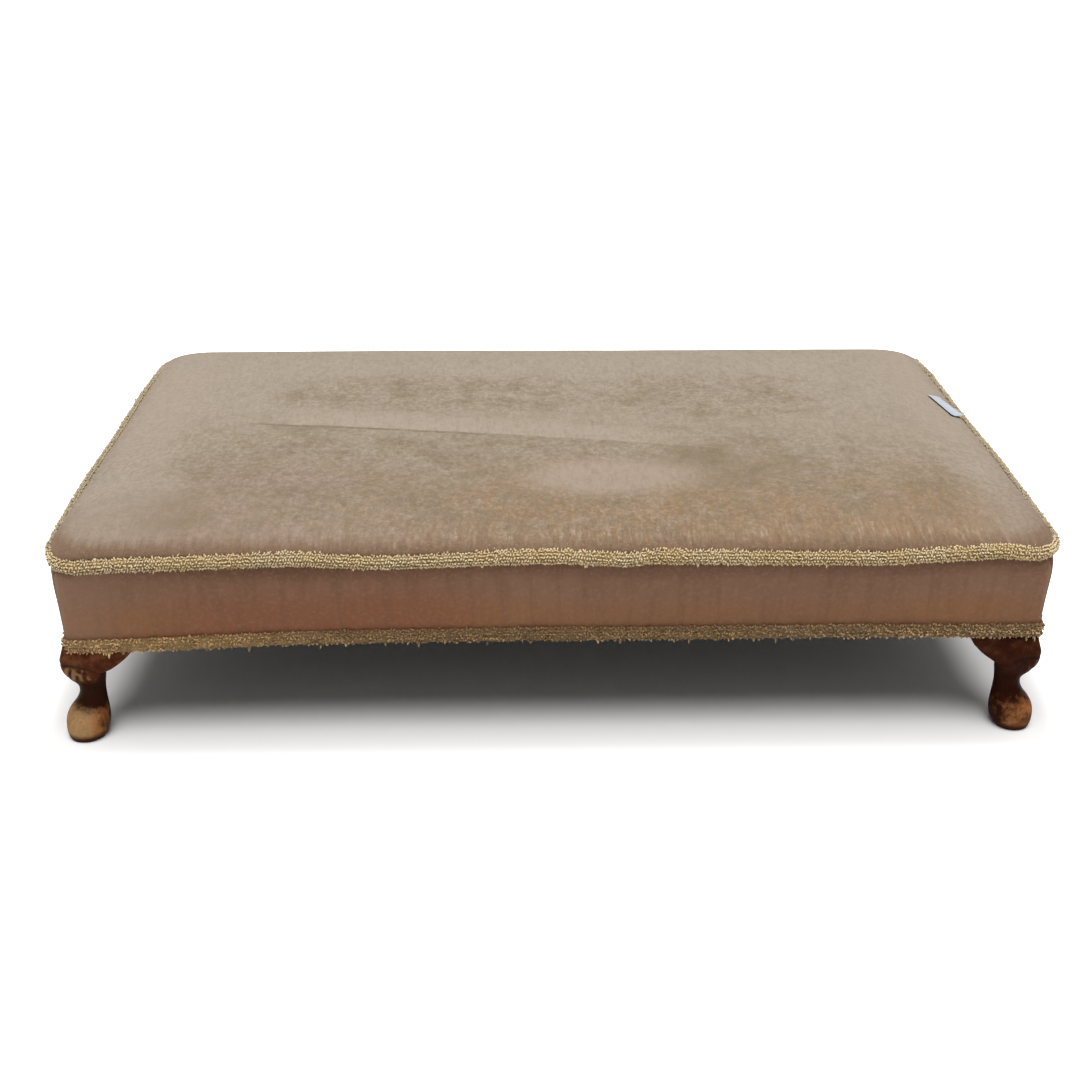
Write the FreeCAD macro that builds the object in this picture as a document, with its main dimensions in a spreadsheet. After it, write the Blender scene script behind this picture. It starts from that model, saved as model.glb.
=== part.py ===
import FreeCAD, Part
import Sketcher
import math
import os
from FreeCAD import Placement, Rotation, Vector

# An upholstered footstool: a sprung and stuffed top on a beech frame with four short cabriole legs.
# Millimetres. The origin is on the floor under the middle, X runs along the length, the front
# looks towards -Y, and Z is up.

# Every size that can be set by itself, as the alias of a cell and the number that the cell holds.
SIZES = (
    # The whole stool, measured over the top cord.
    ("overall_length", 1000),
    ("overall_depth", 600),
    ("leg_height", 108),
    # Beech rails.
    ("rail_height", 70),
    ("rail_thickness", 22),
    ("rail_setback", 17.5),
    ("rail_corner_radius", 8),
    ("bore_clearance", 0.1),
    ("cut_overrun", 5),
    # Dowels of the corner joints.
    ("dowel_diameter", 10),
    ("dowel_length", 60),
    ("dowel_in_long_rail", 15),
    ("dowel_chamfer", 1),
    ("lower_dowel_height", 32),
    ("dowel_spacing", 24),
    # Corner blocks and their screws.
    ("block_side", 75),
    ("block_tip", 12),
    ("block_height", 45),
    ("screw_diameter", 4.5),
    ("screw_head_diameter", 9),
    ("screw_head_height", 2.5),
    ("screw_tip_length", 6),
    ("screw_length", 36),
    ("screw_grip_in_block", 20),
    ("screw_offset", 50),
    ("screw_height", 24),
    # Cabriole legs, their pegs and their ears.
    ("leg_setback", 13),
    ("leg_square", 35),
    ("leg_seat_setback", 1.8),
    ("peg_diameter", 14),
    ("peg_length", 44),
    ("peg_in_leg", 22),
    ("ear_reach", 64),
    ("ear_drop", 30),
    ("ear_thickness", 24),
    ("ear_bulge", 4),
    ("pin_diameter", 1.6),
    ("pin_head_diameter", 2.6),
    ("pin_head_height", 1),
    ("pin_length", 30),
    # Webbing and its tacks.
    ("webbing_width", 50),
    ("webbing_thickness", 1.5),
    ("webbing_setback", 4),
    ("long_strap_pitch", 85),
    ("cross_strap_pitch", 110),
    ("weave_clearance", 0.05),
    ("tack_diameter", 1.8),
    ("tack_head_diameter", 6),
    ("tack_head_height", 0.8),
    ("tack_length", 12),
    ("tack_spread", 17),
    ("tack_stagger", 5),
    # Seat springs and the twine that holds them down.
    ("spring_wire", 3.2),
    ("spring_end_diameter", 76),
    ("spring_waist_diameter", 54),
    ("twine_diameter", 2.5),
    # Layers of stuffing and cloth.
    ("layer_clearance", 0.1),
    ("hessian_thickness", 0.8),
    ("hessian_setback", 4),
    ("scrim_thickness", 0.8),
    ("edge_roll_width", 30),
    ("calico_thickness", 0.6),
    ("wadding_thickness", 4.5),
    ("velvet_thickness", 1.5),
    ("seam_height", 21),
    ("crown_rise", 28),
    ("crown_run", 180),
    # Border panels, cord and trim.
    ("border_setback", 14.3),
    ("border_flare", 5.8),
    ("border_turn_under", 1),
    ("cord_diameter", 17),
    ("cord_corner_radius", 45),
    ("cord_back_clearance", 0.5),
    ("cord_heel_depth", 3.6),
    ("cord_heel_height", 7),
    ("trim_height", 15),
    ("trim_thickness", 3.8),
    ("trim_gap", 0.5),
    ("trim_drop", 2),
    ("trim_edge_radius", 1.6),
    ("gimp_pin_diameter", 1.2),
    ("gimp_pin_head_diameter", 2.8),
    ("gimp_pin_head_height", 0.6),
    ("gimp_pin_length", 14),
    ("gimp_pin_pitch", 130),
    # Black dust cover below.
    ("dust_cover_thickness", 0.6),
    ("dust_cover_drop", 2.8),
    ("dust_cover_lap", 6),
    ("dust_cover_notch_clearance", 1),
    ("dust_tack_diameter", 1.4),
    ("dust_tack_head_diameter", 5),
    ("dust_tack_head_height", 0.7),
    ("dust_tack_length", 12),
    # Paper ticket lying on the cover by the right edge.
    ("ticket_length", 66),
    ("ticket_width", 21),
    ("ticket_thickness", 0.4),
    ("ticket_setback", 25),
    ("ticket_from_middle", 86),
    ("ticket_turn_degrees", 12),
    ("ticket_lift", 0.3),
)

# How many of each there are.
LONG_STRAPS = 5
CROSS_STRAPS = 7
TACKS_PER_STRAP_END = 3
SPRING_TURNS = 4
SPANS_PER_TURN = 4
SPRING_ROWS = ("front", "middle", "back")
CORNERS = ("back_right", "front_right", "back_left", "front_left")

# Border outline from its foot to the seam under the cord: the share of its height, the share of
# its flare outwards, and the corner's radius as a share of the cord's corner.
BORDER_SHARES = (
    (0.0, 0.0, 0.2),
    (0.424, 0.14, 0.25),
    (0.77, 0.57, 0.4),
    (0.9, 1.0, 0.75),
    (0.96, 0.8, 0.8),
    (1.0, 0.2, 0.8),
)
# Crown of the top: the share of its rise, the distance in from the cord's outer edge as a share of
# the crown's run, and the corner's radius as a share of the cord's corner.
CROWN_SHARES = (
    (0.0, 0.073, 0.8),
    (0.19, 0.048, 0.85),
    (0.36, 0.05, 0.88),
    (0.49, 0.072, 0.92),
    (0.61, 0.115, 0.96),
    (0.73, 0.18, 1.02),
    (0.84, 0.28, 1.1),
    (0.92, 0.44, 1.2),
    (0.97, 0.67, 1.3),
    (1.0, 1.0, 1.4),
)
# Leg outline from the top down: the share of the leg's height, how far its outer and its inner
# face stand from the leg's corner lines as shares of the leg's square, and the corner's radius as
# a share of the width there.
LEG_SHARES = (
    (0.976, 0.035, -0.978, 0.12),
    (0.907, 0.143, -0.978, 0.14),
    (0.833, 0.191, -0.978, 0.17),
    (0.759, 0.2, -0.978, 0.21),
    (0.704, 0.157, -0.978, 0.27),
    (0.648, 0.014, -0.978, 0.33),
    (0.565, -0.243, -0.975, 0.42),
    (0.509, -0.286, -0.971, 0.45),
    (0.444, -0.243, -0.971, 0.46),
    (0.37, -0.143, -0.971, 0.47),
    (0.306, 0.0, -0.971, 0.48),
    (0.231, 0.143, -0.977, 0.48),
    (0.148, 0.243, -0.986, 0.48),
    (0.093, 0.274, -0.971, 0.48),
    (0.037, 0.229, -0.886, 0.48),
    (0.0, 0.114, -0.714, 0.48),
)
# Lower edge of an ear from its tip to the leg: shares of its reach and of its drop.
EAR_SHARES = (
    (1.0, 0.0),
    (0.985, 0.1),
    (0.845, 0.45),
    (0.7, 0.8),
    (0.62, 0.95),
    (0.0, 1.0),
)
# Places along and across the paper ticket where its curve is worked out, as shares of its sides.
TICKET_SHARES = (-0.5, -0.3, -0.1, 0.1, 0.3, 0.5)
FINE_STEPS = 200
# How thick the point of a pin, tack or screw is, as a share of its shank.
POINT_SHARE = 0.25
# Places along an ear, as shares of its reach, where its two pins go in.
EAR_PIN_SHARES = (0.66, 0.82)

doc = FreeCAD.newDocument("footstool")
sheet = doc.addObject("Spreadsheet::Sheet", "sizes")
for row, (alias, number) in enumerate(SIZES, start=1):
    sheet.set(f"A{row}", alias)
    sheet.set(f"B{row}", str(number))
    sheet.setAlias(f"B{row}", alias)
doc.recompute()

pieces = []


def mm(expression):
    """The number that an expression on the sheet's sizes comes to."""
    return float(sheet.evalExpression(expression))


def keep(item, label):
    """Make an object one of the stool's pieces, under the name of its file."""
    item.Label = label
    pieces.append(item)
    return item


def bind(item, **expressions):
    """Bind properties of an object to expressions on the sheet's sizes."""
    for name, expression in expressions.items():
        item.setExpression(name, expression)
    return item


def place(item, x="0", y="0", z="0"):
    """Bind an object's position to three expressions."""
    item.setExpression("Placement.Base.x", x)
    item.setExpression("Placement.Base.y", y)
    item.setExpression("Placement.Base.z", z)
    return item


def box(name, length, width, height, x, y, z):
    """A box with its lowest corner at a place."""
    item = doc.addObject("Part::Box", name)
    bind(item, Length=length, Width=width, Height=height)
    return place(item, x, y, z)


def shaped(name, shape):
    """An object that holds a shape made from the sheet's sizes."""
    item = doc.addObject("Part::Feature", name)
    item.Shape = shape
    item.Placement = Placement()
    return item


def cut(name, base, tool):
    item = doc.addObject("Part::Cut", name)
    item.Base = base
    item.Tool = tool
    return item


def common(name, base, tool):
    item = doc.addObject("Part::Common", name)
    item.Base = base
    item.Tool = tool
    return item


def fused(name, items):
    item = doc.addObject("Part::MultiFuse", name)
    item.Shapes = items
    return item


def mirrored(name, source, base, normal):
    item = doc.addObject("Part::Mirroring", name)
    item.Source = source
    item.Base = base
    item.Normal = normal
    return item


def turned(name, stages):
    """A round piece standing on the origin: stages of lower radius, upper radius and height."""
    parts = []
    height_so_far = "0"
    for number, (lower, upper, height) in enumerate(stages, start=1):
        if lower == upper:
            item = doc.addObject("Part::Cylinder", f"{name}_stage_{number}")
            bind(item, Radius=lower, Height=height)
        else:
            item = doc.addObject("Part::Cone", f"{name}_stage_{number}")
            bind(item, Radius1=lower, Radius2=upper, Height=height)
        parts.append(place(item, z=height_so_far))
        height_so_far += f" + {height}"
    return parts[0] if len(parts) == 1 else fused(name, parts)


def group(name, single, spots):
    """Copies of one piece's shape, at a list of placements, as separate solids in one object."""
    copies = []
    for spot in spots:
        copy = single.Shape.copy()
        copy.transformShape(spot.toMatrix())
        copies.append(copy)
    return shaped(name, Part.makeCompound(copies))


def facing(x, y, z, direction):
    """A placement that stands a turned piece at a point, its height along a direction."""
    return Placement(Vector(x, y, z), Rotation(Vector(0, 0, 1), direction))


def each_side(x, y):
    """The four places that mirror one place across both middle planes."""
    return [(side_x * x, side_y * y, side_x, side_y) for side_x in (1, -1) for side_y in (1, -1)]


def rounded_wire(low_x, high_x, low_y, high_y, radius, z):
    """A level rounded rectangle of four lines and four arcs."""
    edges = []
    corners = (
        (high_x - radius, low_y + radius, -90),
        (high_x - radius, high_y - radius, 0),
        (low_x + radius, high_y - radius, 90),
        (low_x + radius, low_y + radius, 180),
    )

    def on_arc(corner, turn):
        angle = math.radians(corner[2] + turn)
        return Vector(corner[0] + radius * math.cos(angle), corner[1] + radius * math.sin(angle), z)

    for corner, following in zip(corners, corners[1:] + corners[:1]):
        edges.append(Part.Arc(on_arc(corner, 0), on_arc(corner, 45), on_arc(corner, 90)).toShape())
        edges.append(Part.LineSegment(on_arc(corner, 90), on_arc(following, 0)).toShape())
    return Part.Wire(edges)


def centred_wire(half_length, half_depth, radius, z):
    return rounded_wire(-half_length, half_length, -half_depth, half_depth, radius, z)


# Places that several pieces share, as expressions on the sheet's sizes.
RAIL_HALF_LENGTH = "(sizes.overall_length / 2 - sizes.rail_setback)"
RAIL_HALF_DEPTH = "(sizes.overall_depth / 2 - sizes.rail_setback)"
RAIL_INNER_X = f"({RAIL_HALF_LENGTH} - sizes.rail_thickness)"
RAIL_INNER_Y = f"({RAIL_HALF_DEPTH} - sizes.rail_thickness)"
RAIL_TOP = "(sizes.leg_height + sizes.rail_height)"
SEAM_Z = f"({RAIL_TOP} + sizes.seam_height)"
LEG_CORNER_X = "(sizes.overall_length / 2 - sizes.leg_setback)"
LEG_CORNER_Y = "(sizes.overall_depth / 2 - sizes.leg_setback)"
PEG_X = f"({RAIL_HALF_LENGTH} - sizes.rail_thickness / 2)"
PEG_Y = f"({RAIL_HALF_DEPTH} - sizes.rail_thickness / 2)"

floor_to_rail = mm("sizes.leg_height")
rail_x = mm(RAIL_INNER_X)
rail_y = mm(RAIL_INNER_Y)
rail_end_x = mm(RAIL_HALF_LENGTH)
rail_end_y = mm(RAIL_HALF_DEPTH)
rail_top = mm(RAIL_TOP)
seam_z = mm(SEAM_Z)
corner_x = mm(LEG_CORNER_X)
corner_y = mm(LEG_CORNER_Y)
overrun = mm("sizes.cut_overrun")
clearance = mm("sizes.bore_clearance")
upward = Vector(0, 0, 1)


def dowel_stages(extra):
    """Dowel with chamfered ends; its bore is wider by the extra radius."""
    radius = f"(sizes.dowel_diameter / 2 + {extra})"
    neck = f"({radius} - sizes.dowel_chamfer)"
    return [
        (neck, radius, "sizes.dowel_chamfer"),
        (radius, radius, "(sizes.dowel_length - 2 * sizes.dowel_chamfer)"),
        (radius, neck, "sizes.dowel_chamfer"),
    ]


def make_dowels():
    """Two dowels in each corner joint, from a long rail into the end of a short rail."""
    spots = []
    start_y = rail_y + mm("sizes.dowel_in_long_rail")
    for x, y, _, side_y in each_side(mm(PEG_X), start_y):
        for step in (0, mm("sizes.dowel_spacing")):
            height = floor_to_rail + mm("sizes.lower_dowel_height") + step
            spots.append(facing(x, y, height, Vector(0, -side_y, 0)))
    single = turned("dowel_single", dowel_stages("0"))
    bore = turned("dowel_bore_single", dowel_stages("sizes.bore_clearance"))
    doc.recompute()
    keep(group("dowel_group", single, spots), "corner_dowels")
    return group("dowel_bores", bore, spots)


def screw_stages(extra, beyond):
    """Countersunk wood screw, tip down; its bore is wider and runs on past the head."""
    shank = f"(sizes.screw_diameter / 2 + {extra})"
    head = f"(sizes.screw_head_diameter / 2 + {extra})"
    middle = "(sizes.screw_length - sizes.screw_tip_length - sizes.screw_head_height)"
    stages = [
        (f"(sizes.screw_diameter / 2 * {POINT_SHARE})", shank, "sizes.screw_tip_length"),
        (shank, shank, middle),
        (shank, head, "sizes.screw_head_height"),
    ]
    if beyond:
        stages.append((head, head, beyond))
    return stages


def make_screws():
    """Two screws through each corner block, one into the long rail and one into the short rail."""
    spots = []
    into_rail = mm("sizes.screw_length - sizes.screw_grip_in_block")
    offset = mm("sizes.screw_offset")
    height = floor_to_rail + mm("sizes.screw_height")
    for x, y, side_x, side_y in each_side(rail_x - offset, rail_y + into_rail):
        spots.append(facing(x, y, height, Vector(0, -side_y, 0)))
    for x, y, side_x, side_y in each_side(rail_x + into_rail, rail_y - offset):
        spots.append(facing(x, y, height, Vector(-side_x, 0, 0)))
    single = turned("screw_single", screw_stages("0", None))
    bore = turned("screw_bore_single", screw_stages("sizes.bore_clearance", "sizes.block_side / 2"))
    doc.recompute()
    keep(group("screw_group", single, spots), "corner_block_screws")
    return group("screw_bores", bore, spots)


def make_pegs():
    """A plain round peg glued into each leg and up into the corner of the frame."""
    spots = []
    for x, y, _, _ in each_side(mm(PEG_X), mm(PEG_Y)):
        spots.append(facing(x, y, floor_to_rail - mm("sizes.peg_in_leg"), upward))
    radius = "sizes.peg_diameter / 2"
    wide = "(sizes.peg_diameter / 2 + sizes.bore_clearance)"
    single = turned("peg_single", [(radius, radius, "sizes.peg_length")])
    bore = turned("peg_bore_single", [(wide, wide, "sizes.peg_length")])
    doc.recompute()
    keep(group("peg_group", single, spots), "leg_pegs")
    return group("peg_bores", bore, spots)


def headed_stages(kind, extra, open_below):
    """Pin or tack with its point up and its flat head below, or its bore, open below the head."""
    head = f"(sizes.{kind}_head_diameter / 2 + {extra})"
    shank = f"(sizes.{kind}_diameter / 2 + {extra})"
    point = f"(sizes.{kind}_diameter / 2 * {POINT_SHARE})"
    return [
        (head, head, f"(sizes.{kind}_head_height + {open_below})"),
        (shank, point, f"(sizes.{kind}_length - sizes.{kind}_head_height)"),
    ]


def headed_group(kind, label, spots):
    """A group of pins or tacks, and the group of bores that they sit in."""
    single = turned(f"{kind}_single", headed_stages(kind, "0", "0"))
    bore = turned(f"{kind}_bore_single", headed_stages(kind, "sizes.bore_clearance", "sizes.cut_overrun"))
    doc.recompute()
    keep(group(f"{kind}_group", single, spots), label)
    lowered = Placement(Vector(0, 0, -overrun), Rotation())
    return group(f"{kind}_bores", bore, [spot * lowered for spot in spots])


def ear_lower_edge(reach_share):
    """How far below the rail an ear's lower edge is, at a share of its reach."""
    for (near, near_drop), (far, far_drop) in zip(EAR_SHARES[1:], EAR_SHARES[:-1]):
        if near <= reach_share <= far:
            along = (reach_share - near) / (far - near)
            return mm("sizes.ear_drop") * (near_drop + along * (far_drop - near_drop))
    return mm("sizes.ear_drop")


def make_ear_pins():
    """Two pins up through each ear into the rail, their heads just below the ear's surface."""
    spots = []
    middle = mm("sizes.leg_seat_setback + sizes.ear_thickness / 2")
    sink = mm("sizes.pin_head_height")
    for share in EAR_PIN_SHARES:
        along = mm("sizes.ear_reach") * share
        low = floor_to_rail - ear_lower_edge(share) + sink
        for x, y, _, _ in each_side(corner_x - along, corner_y - middle):
            spots.append(facing(x, y, low, upward))
        for x, y, _, _ in each_side(corner_x - middle, corner_y - along):
            spots.append(facing(x, y, low, upward))
    return headed_group("pin", "ear_pins", spots)


def strap_places(count, pitch):
    """Middle lines of the straps that lie side by side."""
    return [pitch * (number - (count - 1) / 2) for number in range(count)]


long_strap_y = strap_places(LONG_STRAPS, mm("sizes.long_strap_pitch"))
cross_strap_x = strap_places(CROSS_STRAPS, mm("sizes.cross_strap_pitch"))
strap_end_x = rail_end_x - mm("sizes.webbing_setback")
strap_end_y = rail_end_y - mm("sizes.webbing_setback")


def make_webbing_tacks():
    """Three tacks in a zigzag through each strap's end, up into the rail."""
    spots = []
    low = floor_to_rail - mm("sizes.webbing_thickness + sizes.tack_head_height")
    spread = mm("sizes.tack_spread")
    stagger = mm("sizes.tack_stagger")
    for number in range(TACKS_PER_STRAP_END):
        across = spread * (number - (TACKS_PER_STRAP_END - 1) / 2)
        inward = mm("sizes.webbing_setback") + stagger * (1 + number % 2)
        for side in (1, -1):
            for y in long_strap_y:
                spots.append(facing(side * (strap_end_x - inward), y + across, low, upward))
            for x in cross_strap_x:
                spots.append(facing(x + across, side * (strap_end_y - inward), low, upward))
    return headed_group("tack", "webbing_tacks", spots)


dust_half_length = rail_x + mm("sizes.dust_cover_lap")
dust_half_depth = rail_y + mm("sizes.dust_cover_lap")
dust_cover_low = floor_to_rail - mm("sizes.dust_cover_drop + sizes.dust_cover_thickness")


def make_dust_cover_tacks():
    """Small tacks along the edges of the dust cover, between the ends of the straps."""
    spots = []
    low = dust_cover_low - mm("sizes.dust_tack_head_height")
    line_x = (dust_half_length + rail_x) / 2
    line_y = (dust_half_depth + rail_y) / 2
    for number in range(CROSS_STRAPS - 1):
        x = (cross_strap_x[number] + cross_strap_x[number + 1]) / 2
        for side in (1, -1):
            spots.append(facing(x, side * line_y, low, upward))
    for number in range(LONG_STRAPS - 1):
        y = (long_strap_y[number] + long_strap_y[number + 1]) / 2
        for side in (1, -1):
            spots.append(facing(side * line_x, y, low, upward))
    return headed_group("dust_tack", "dust_cover_tacks", spots)


trim_outer_x = mm("sizes.overall_length / 2 - sizes.border_setback + sizes.trim_thickness")
trim_outer_y = mm("sizes.overall_depth / 2 - sizes.border_setback + sizes.trim_thickness")
trim_low = floor_to_rail - mm("sizes.trim_drop")


def pin_line(half_run):
    """Evenly spaced places along a run, near the wanted pitch."""
    steps = max(1, round(2 * half_run / mm("sizes.gimp_pin_pitch")))
    pitch = 2 * half_run / steps
    return [pitch * (number + 1 / 2) - half_run for number in range(steps)]


def make_gimp_pins():
    """Small pins through the lower trim into the rails."""
    spots = []
    middle = trim_low + mm("sizes.trim_height / 2")
    sunk = mm("sizes.gimp_pin_head_height + sizes.trim_thickness / 4")
    for side in (1, -1):
        for x in pin_line(rail_x):
            spots.append(facing(x, side * (trim_outer_y - sunk), middle, Vector(0, -side, 0)))
        for y in pin_line(rail_y):
            spots.append(facing(side * (trim_outer_x - sunk), y, middle, Vector(-side, 0, 0)))
    return headed_group("gimp_pin", "gimp_pins", spots)


dowel_bores = make_dowels()
screw_bores = make_screws()
peg_bores = make_pegs()
ear_pin_bores = make_ear_pins()
webbing_tack_bores = make_webbing_tacks()
dust_tack_bores = make_dust_cover_tacks()
gimp_pin_bores = make_gimp_pins()

# All bores of the frame, cut from each rail that they reach.
rail_bores = doc.addObject("Part::Compound", "rail_bores")
rail_bores.Links = [
    dowel_bores, screw_bores, peg_bores, ear_pin_bores,
    webbing_tack_bores, dust_tack_bores, gimp_pin_bores,
]


def make_long_rail(label, low_y, outer_y):
    """Front or back rail, as long as the frame, with its two outer corners rounded."""
    blank = box(
        f"{label}_blank", f"2 * {RAIL_HALF_LENGTH}", "sizes.rail_thickness", "sizes.rail_height",
        f"-{RAIL_HALF_LENGTH}", low_y, "sizes.leg_height",
    )
    doc.recompute()
    radius = mm("sizes.rail_corner_radius")
    rounds = []
    for number, edge in enumerate(blank.Shape.Edges, start=1):
        ends = [vertex.Point for vertex in edge.Vertexes]
        stands = abs(ends[0].z - ends[1].z) > radius
        if stands and abs(ends[0].y - mm(outer_y)) < clearance:
            rounds.append((number, radius, radius))
    rounded = doc.addObject("Part::Fillet", f"{label}_rounded")
    rounded.Base = blank
    rounded.Edges = rounds
    keep(cut(f"{label}_bored", rounded, rail_bores), label)


def make_short_rail(label, low_x):
    """Left or right rail, between the two long rails."""
    blank = box(
        f"{label}_blank", "sizes.rail_thickness", f"2 * {RAIL_INNER_Y}", "sizes.rail_height",
        low_x, f"-{RAIL_INNER_Y}", "sizes.leg_height",
    )
    keep(cut(f"{label}_bored", blank, rail_bores), label)


make_long_rail("front_rail", f"-{RAIL_HALF_DEPTH}", f"-{RAIL_HALF_DEPTH}")
make_long_rail("back_rail", RAIL_INNER_Y, RAIL_HALF_DEPTH)
make_short_rail("left_rail", f"-{RAIL_HALF_LENGTH}")
make_short_rail("right_rail", RAIL_INNER_X)


def to_other_corners(source, labels):
    """Keep a piece of the back right corner and its mirror images at the other three corners."""
    back_right, front_right, back_left, front_left = labels
    keep(source, back_right)
    across = keep(mirrored(f"{front_right}_image", source, Vector(), Vector(0, 1, 0)), front_right)
    keep(mirrored(f"{back_left}_image", source, Vector(), Vector(1, 0, 0)), back_left)
    keep(mirrored(f"{front_left}_image", across, Vector(), Vector(1, 0, 0)), front_left)


def make_corner_blocks():
    """Triangular glue blocks with blunt tips, flush with the rails' underside."""
    body = doc.addObject("PartDesign::Body", "corner_block_body")
    plane = next(item for item in body.Origin.OriginFeatures if item.Role == "XY_Plane")
    sketch = body.newObject("Sketcher::SketchObject", "corner_block_outline")
    sketch.AttachmentSupport = [(plane, "")]
    sketch.MapMode = "FlatFace"
    side = mm("sizes.block_side")
    tip = mm("sizes.block_tip")
    names = {"0": 0, "side": side, "tip": tip}
    corners = (("0", "0"), ("side", "0"), ("side", "tip"), ("tip", "side"), ("0", "side"))
    cells = {"0": "0", "side": "sizes.block_side", "tip": "sizes.block_tip"}
    for (x1, y1), (x2, y2) in zip(corners, corners[1:] + corners[:1]):
        start = Vector(names[x1], names[y1], 0)
        end = Vector(names[x2], names[y2], 0)
        sketch.addGeometry(Part.LineSegment(start, end), False)
    for number in range(len(corners)):
        following = (number + 1) % len(corners)
        sketch.addConstraint(Sketcher.Constraint("Coincident", number, 2, following, 1))
    for number, (x, y) in enumerate(corners):
        for kind, cell in (("DistanceX", x), ("DistanceY", y)):
            index = sketch.addConstraint(Sketcher.Constraint(kind, -1, 1, number, 1, names[cell]))
            if cell != "0":
                sketch.setExpression(f"Constraints[{index}]", cells[cell])
    pad = body.newObject("PartDesign::Pad", "corner_block_pad")
    pad.Profile = sketch
    pad.setExpression("Length", "sizes.block_height")
    body.Placement = Placement(Vector(), Rotation(upward, 180))
    place(body, RAIL_INNER_X, RAIL_INNER_Y, "sizes.leg_height")
    doc.recompute()
    bored = cut("corner_block_bored", body, screw_bores)
    to_other_corners(bored, [f"{corner}_corner_block" for corner in CORNERS])


def make_legs():
    """Cabriole legs: a knee that swells outwards, a thin ankle and a round pad foot."""
    square = mm("sizes.leg_square")
    wires = []
    for height_share, outer_share, inner_share, round_share in LEG_SHARES:
        outer = square * outer_share
        inner = square * inner_share
        radius = round_share * (outer - inner)
        wires.append(rounded_wire(
            corner_x + inner, corner_x + outer, corner_y + inner, corner_y + outer,
            radius, floor_to_rail * height_share,
        ))
    carved = shaped("leg_loft", Part.makeLoft(wires[::-1], True, True))
    top_share, _, inner_share, _ = LEG_SHARES[0]
    width = f"(-({inner_share}) * sizes.leg_square - sizes.leg_seat_setback)"
    seat = box(
        "leg_seat", width, width, f"(sizes.leg_height * {1 - top_share})",
        f"{LEG_CORNER_X} + ({inner_share}) * sizes.leg_square",
        f"{LEG_CORNER_Y} + ({inner_share}) * sizes.leg_square",
        f"(sizes.leg_height * {top_share})",
    )
    doc.recompute()
    whole = fused("leg_whole", [carved, seat])
    bored = cut("leg_bored", whole, peg_bores)
    to_other_corners(bored, [f"{corner}_leg" for corner in CORNERS])


def make_ears():
    """Brackets beside each leg, shaped under the rail and swelling towards the knee."""
    reach = mm("sizes.ear_reach")
    drop = mm("sizes.ear_drop")
    seat = mm("sizes.leg_seat_setback")
    bulge = mm("sizes.ear_bulge")
    start = -mm("sizes.leg_square") * LEG_SHARES[0][2] + clearance
    back = mm("sizes.ear_thickness") + seat
    under_trim = trim_low - clearance

    def side_point(reach_share, drop_share):
        along = max(start, reach * reach_share)
        return Vector(corner_x - along, corner_y, floor_to_rail - drop * drop_share)

    low_edge = [side_point(*shares) for shares in EAR_SHARES]
    outline = [Vector(corner_x - start, corner_y, floor_to_rail)] + low_edge
    outline.append(outline[0])
    thick = Part.Face(Part.makePolygon(outline)).extrude(Vector(0, -back, 0))
    forward = Part.Face(Part.makePolygon(outline)).extrude(Vector(0, bulge, 0))
    blank = thick.fuse(forward).removeSplitter()
    plan = (
        Vector(corner_x - start, corner_y + bulge, 0),
        Vector(corner_x - reach, corner_y - seat, 0),
        Vector(corner_x - reach, corner_y - back, 0),
        Vector(corner_x - start, corner_y - back, 0),
        Vector(corner_x - start, corner_y + bulge, 0),
    )
    swell = Part.Face(Part.makePolygon(plan)).extrude(Vector(0, 0, floor_to_rail))
    behind_trim = Part.makeBox(
        reach, mm("sizes.cut_overrun") + bulge, floor_to_rail,
        Vector(corner_x - reach, corner_y - seat, under_trim),
    )
    along = shaped("ear_blank", blank.common(swell).cut(behind_trim))
    bored = cut("ear_bored", along, ear_pin_bores)
    to_other_corners(bored, [f"{corner}_{corner.split('_')[0]}_ear" for corner in CORNERS])
    beside = mirrored("side_ear", along, Vector(corner_x, corner_y, 0), Vector(1, -1, 0))
    bored_side = cut("side_ear_bored", beside, ear_pin_bores)
    to_other_corners(bored_side, [f"{corner}_side_ear" for corner in CORNERS])


make_corner_blocks()
make_legs()
make_ears()


def strap_outline(end, crossings, first_over):
    """Side view of a woven strap: it passes over and under the straps that cross it in turn."""
    thick = mm("sizes.webbing_thickness")
    lift = (thick + mm("sizes.weave_clearance")) / 2
    half_width = mm("sizes.webbing_width") / 2
    middle = floor_to_rail - thick / 2
    line = [(-end, middle)]
    over = first_over
    for place_along in crossings:
        level = middle + (lift if over else -lift)
        line.append((place_along - half_width, level))
        line.append((place_along + half_width, level))
        over = not over
    slope_run = mm("sizes.webbing_width") / 4
    line.insert(1, (crossings[0] - half_width - slope_run, middle))
    line.append((crossings[-1] + half_width + slope_run, middle))
    line.append((end, middle))
    upper = [(along, z + thick / 2) for along, z in line]
    lower = [(along, z - thick / 2) for along, z in reversed(line)]
    return upper + lower


def make_straps():
    """Jute webbing woven basket fashion and tacked under the rails."""
    half_width = mm("sizes.webbing_width") / 2
    for number, y in enumerate(long_strap_y):
        outline = strap_outline(strap_end_x, cross_strap_x, number % 2 == 0)
        points = [Vector(along, y - half_width, z) for along, z in outline]
        face = Part.Face(Part.makePolygon(points + points[:1]))
        blank = shaped(f"long_strap_{number + 1}", face.extrude(Vector(0, 2 * half_width, 0)))
        bored = cut(f"long_strap_{number + 1}_bored", blank, webbing_tack_bores)
        keep(bored, f"webbing_long_{number + 1}")
    for number, x in enumerate(cross_strap_x):
        outline = strap_outline(strap_end_y, long_strap_y, number % 2 == 1)
        points = [Vector(x - half_width, along, z) for along, z in outline]
        face = Part.Face(Part.makePolygon(points + points[:1]))
        blank = shaped(f"cross_strap_{number + 1}", face.extrude(Vector(2 * half_width, 0, 0)))
        bored = cut(f"cross_strap_{number + 1}_bored", blank, webbing_tack_bores)
        keep(bored, f"webbing_cross_{number + 1}")


make_straps()

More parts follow.
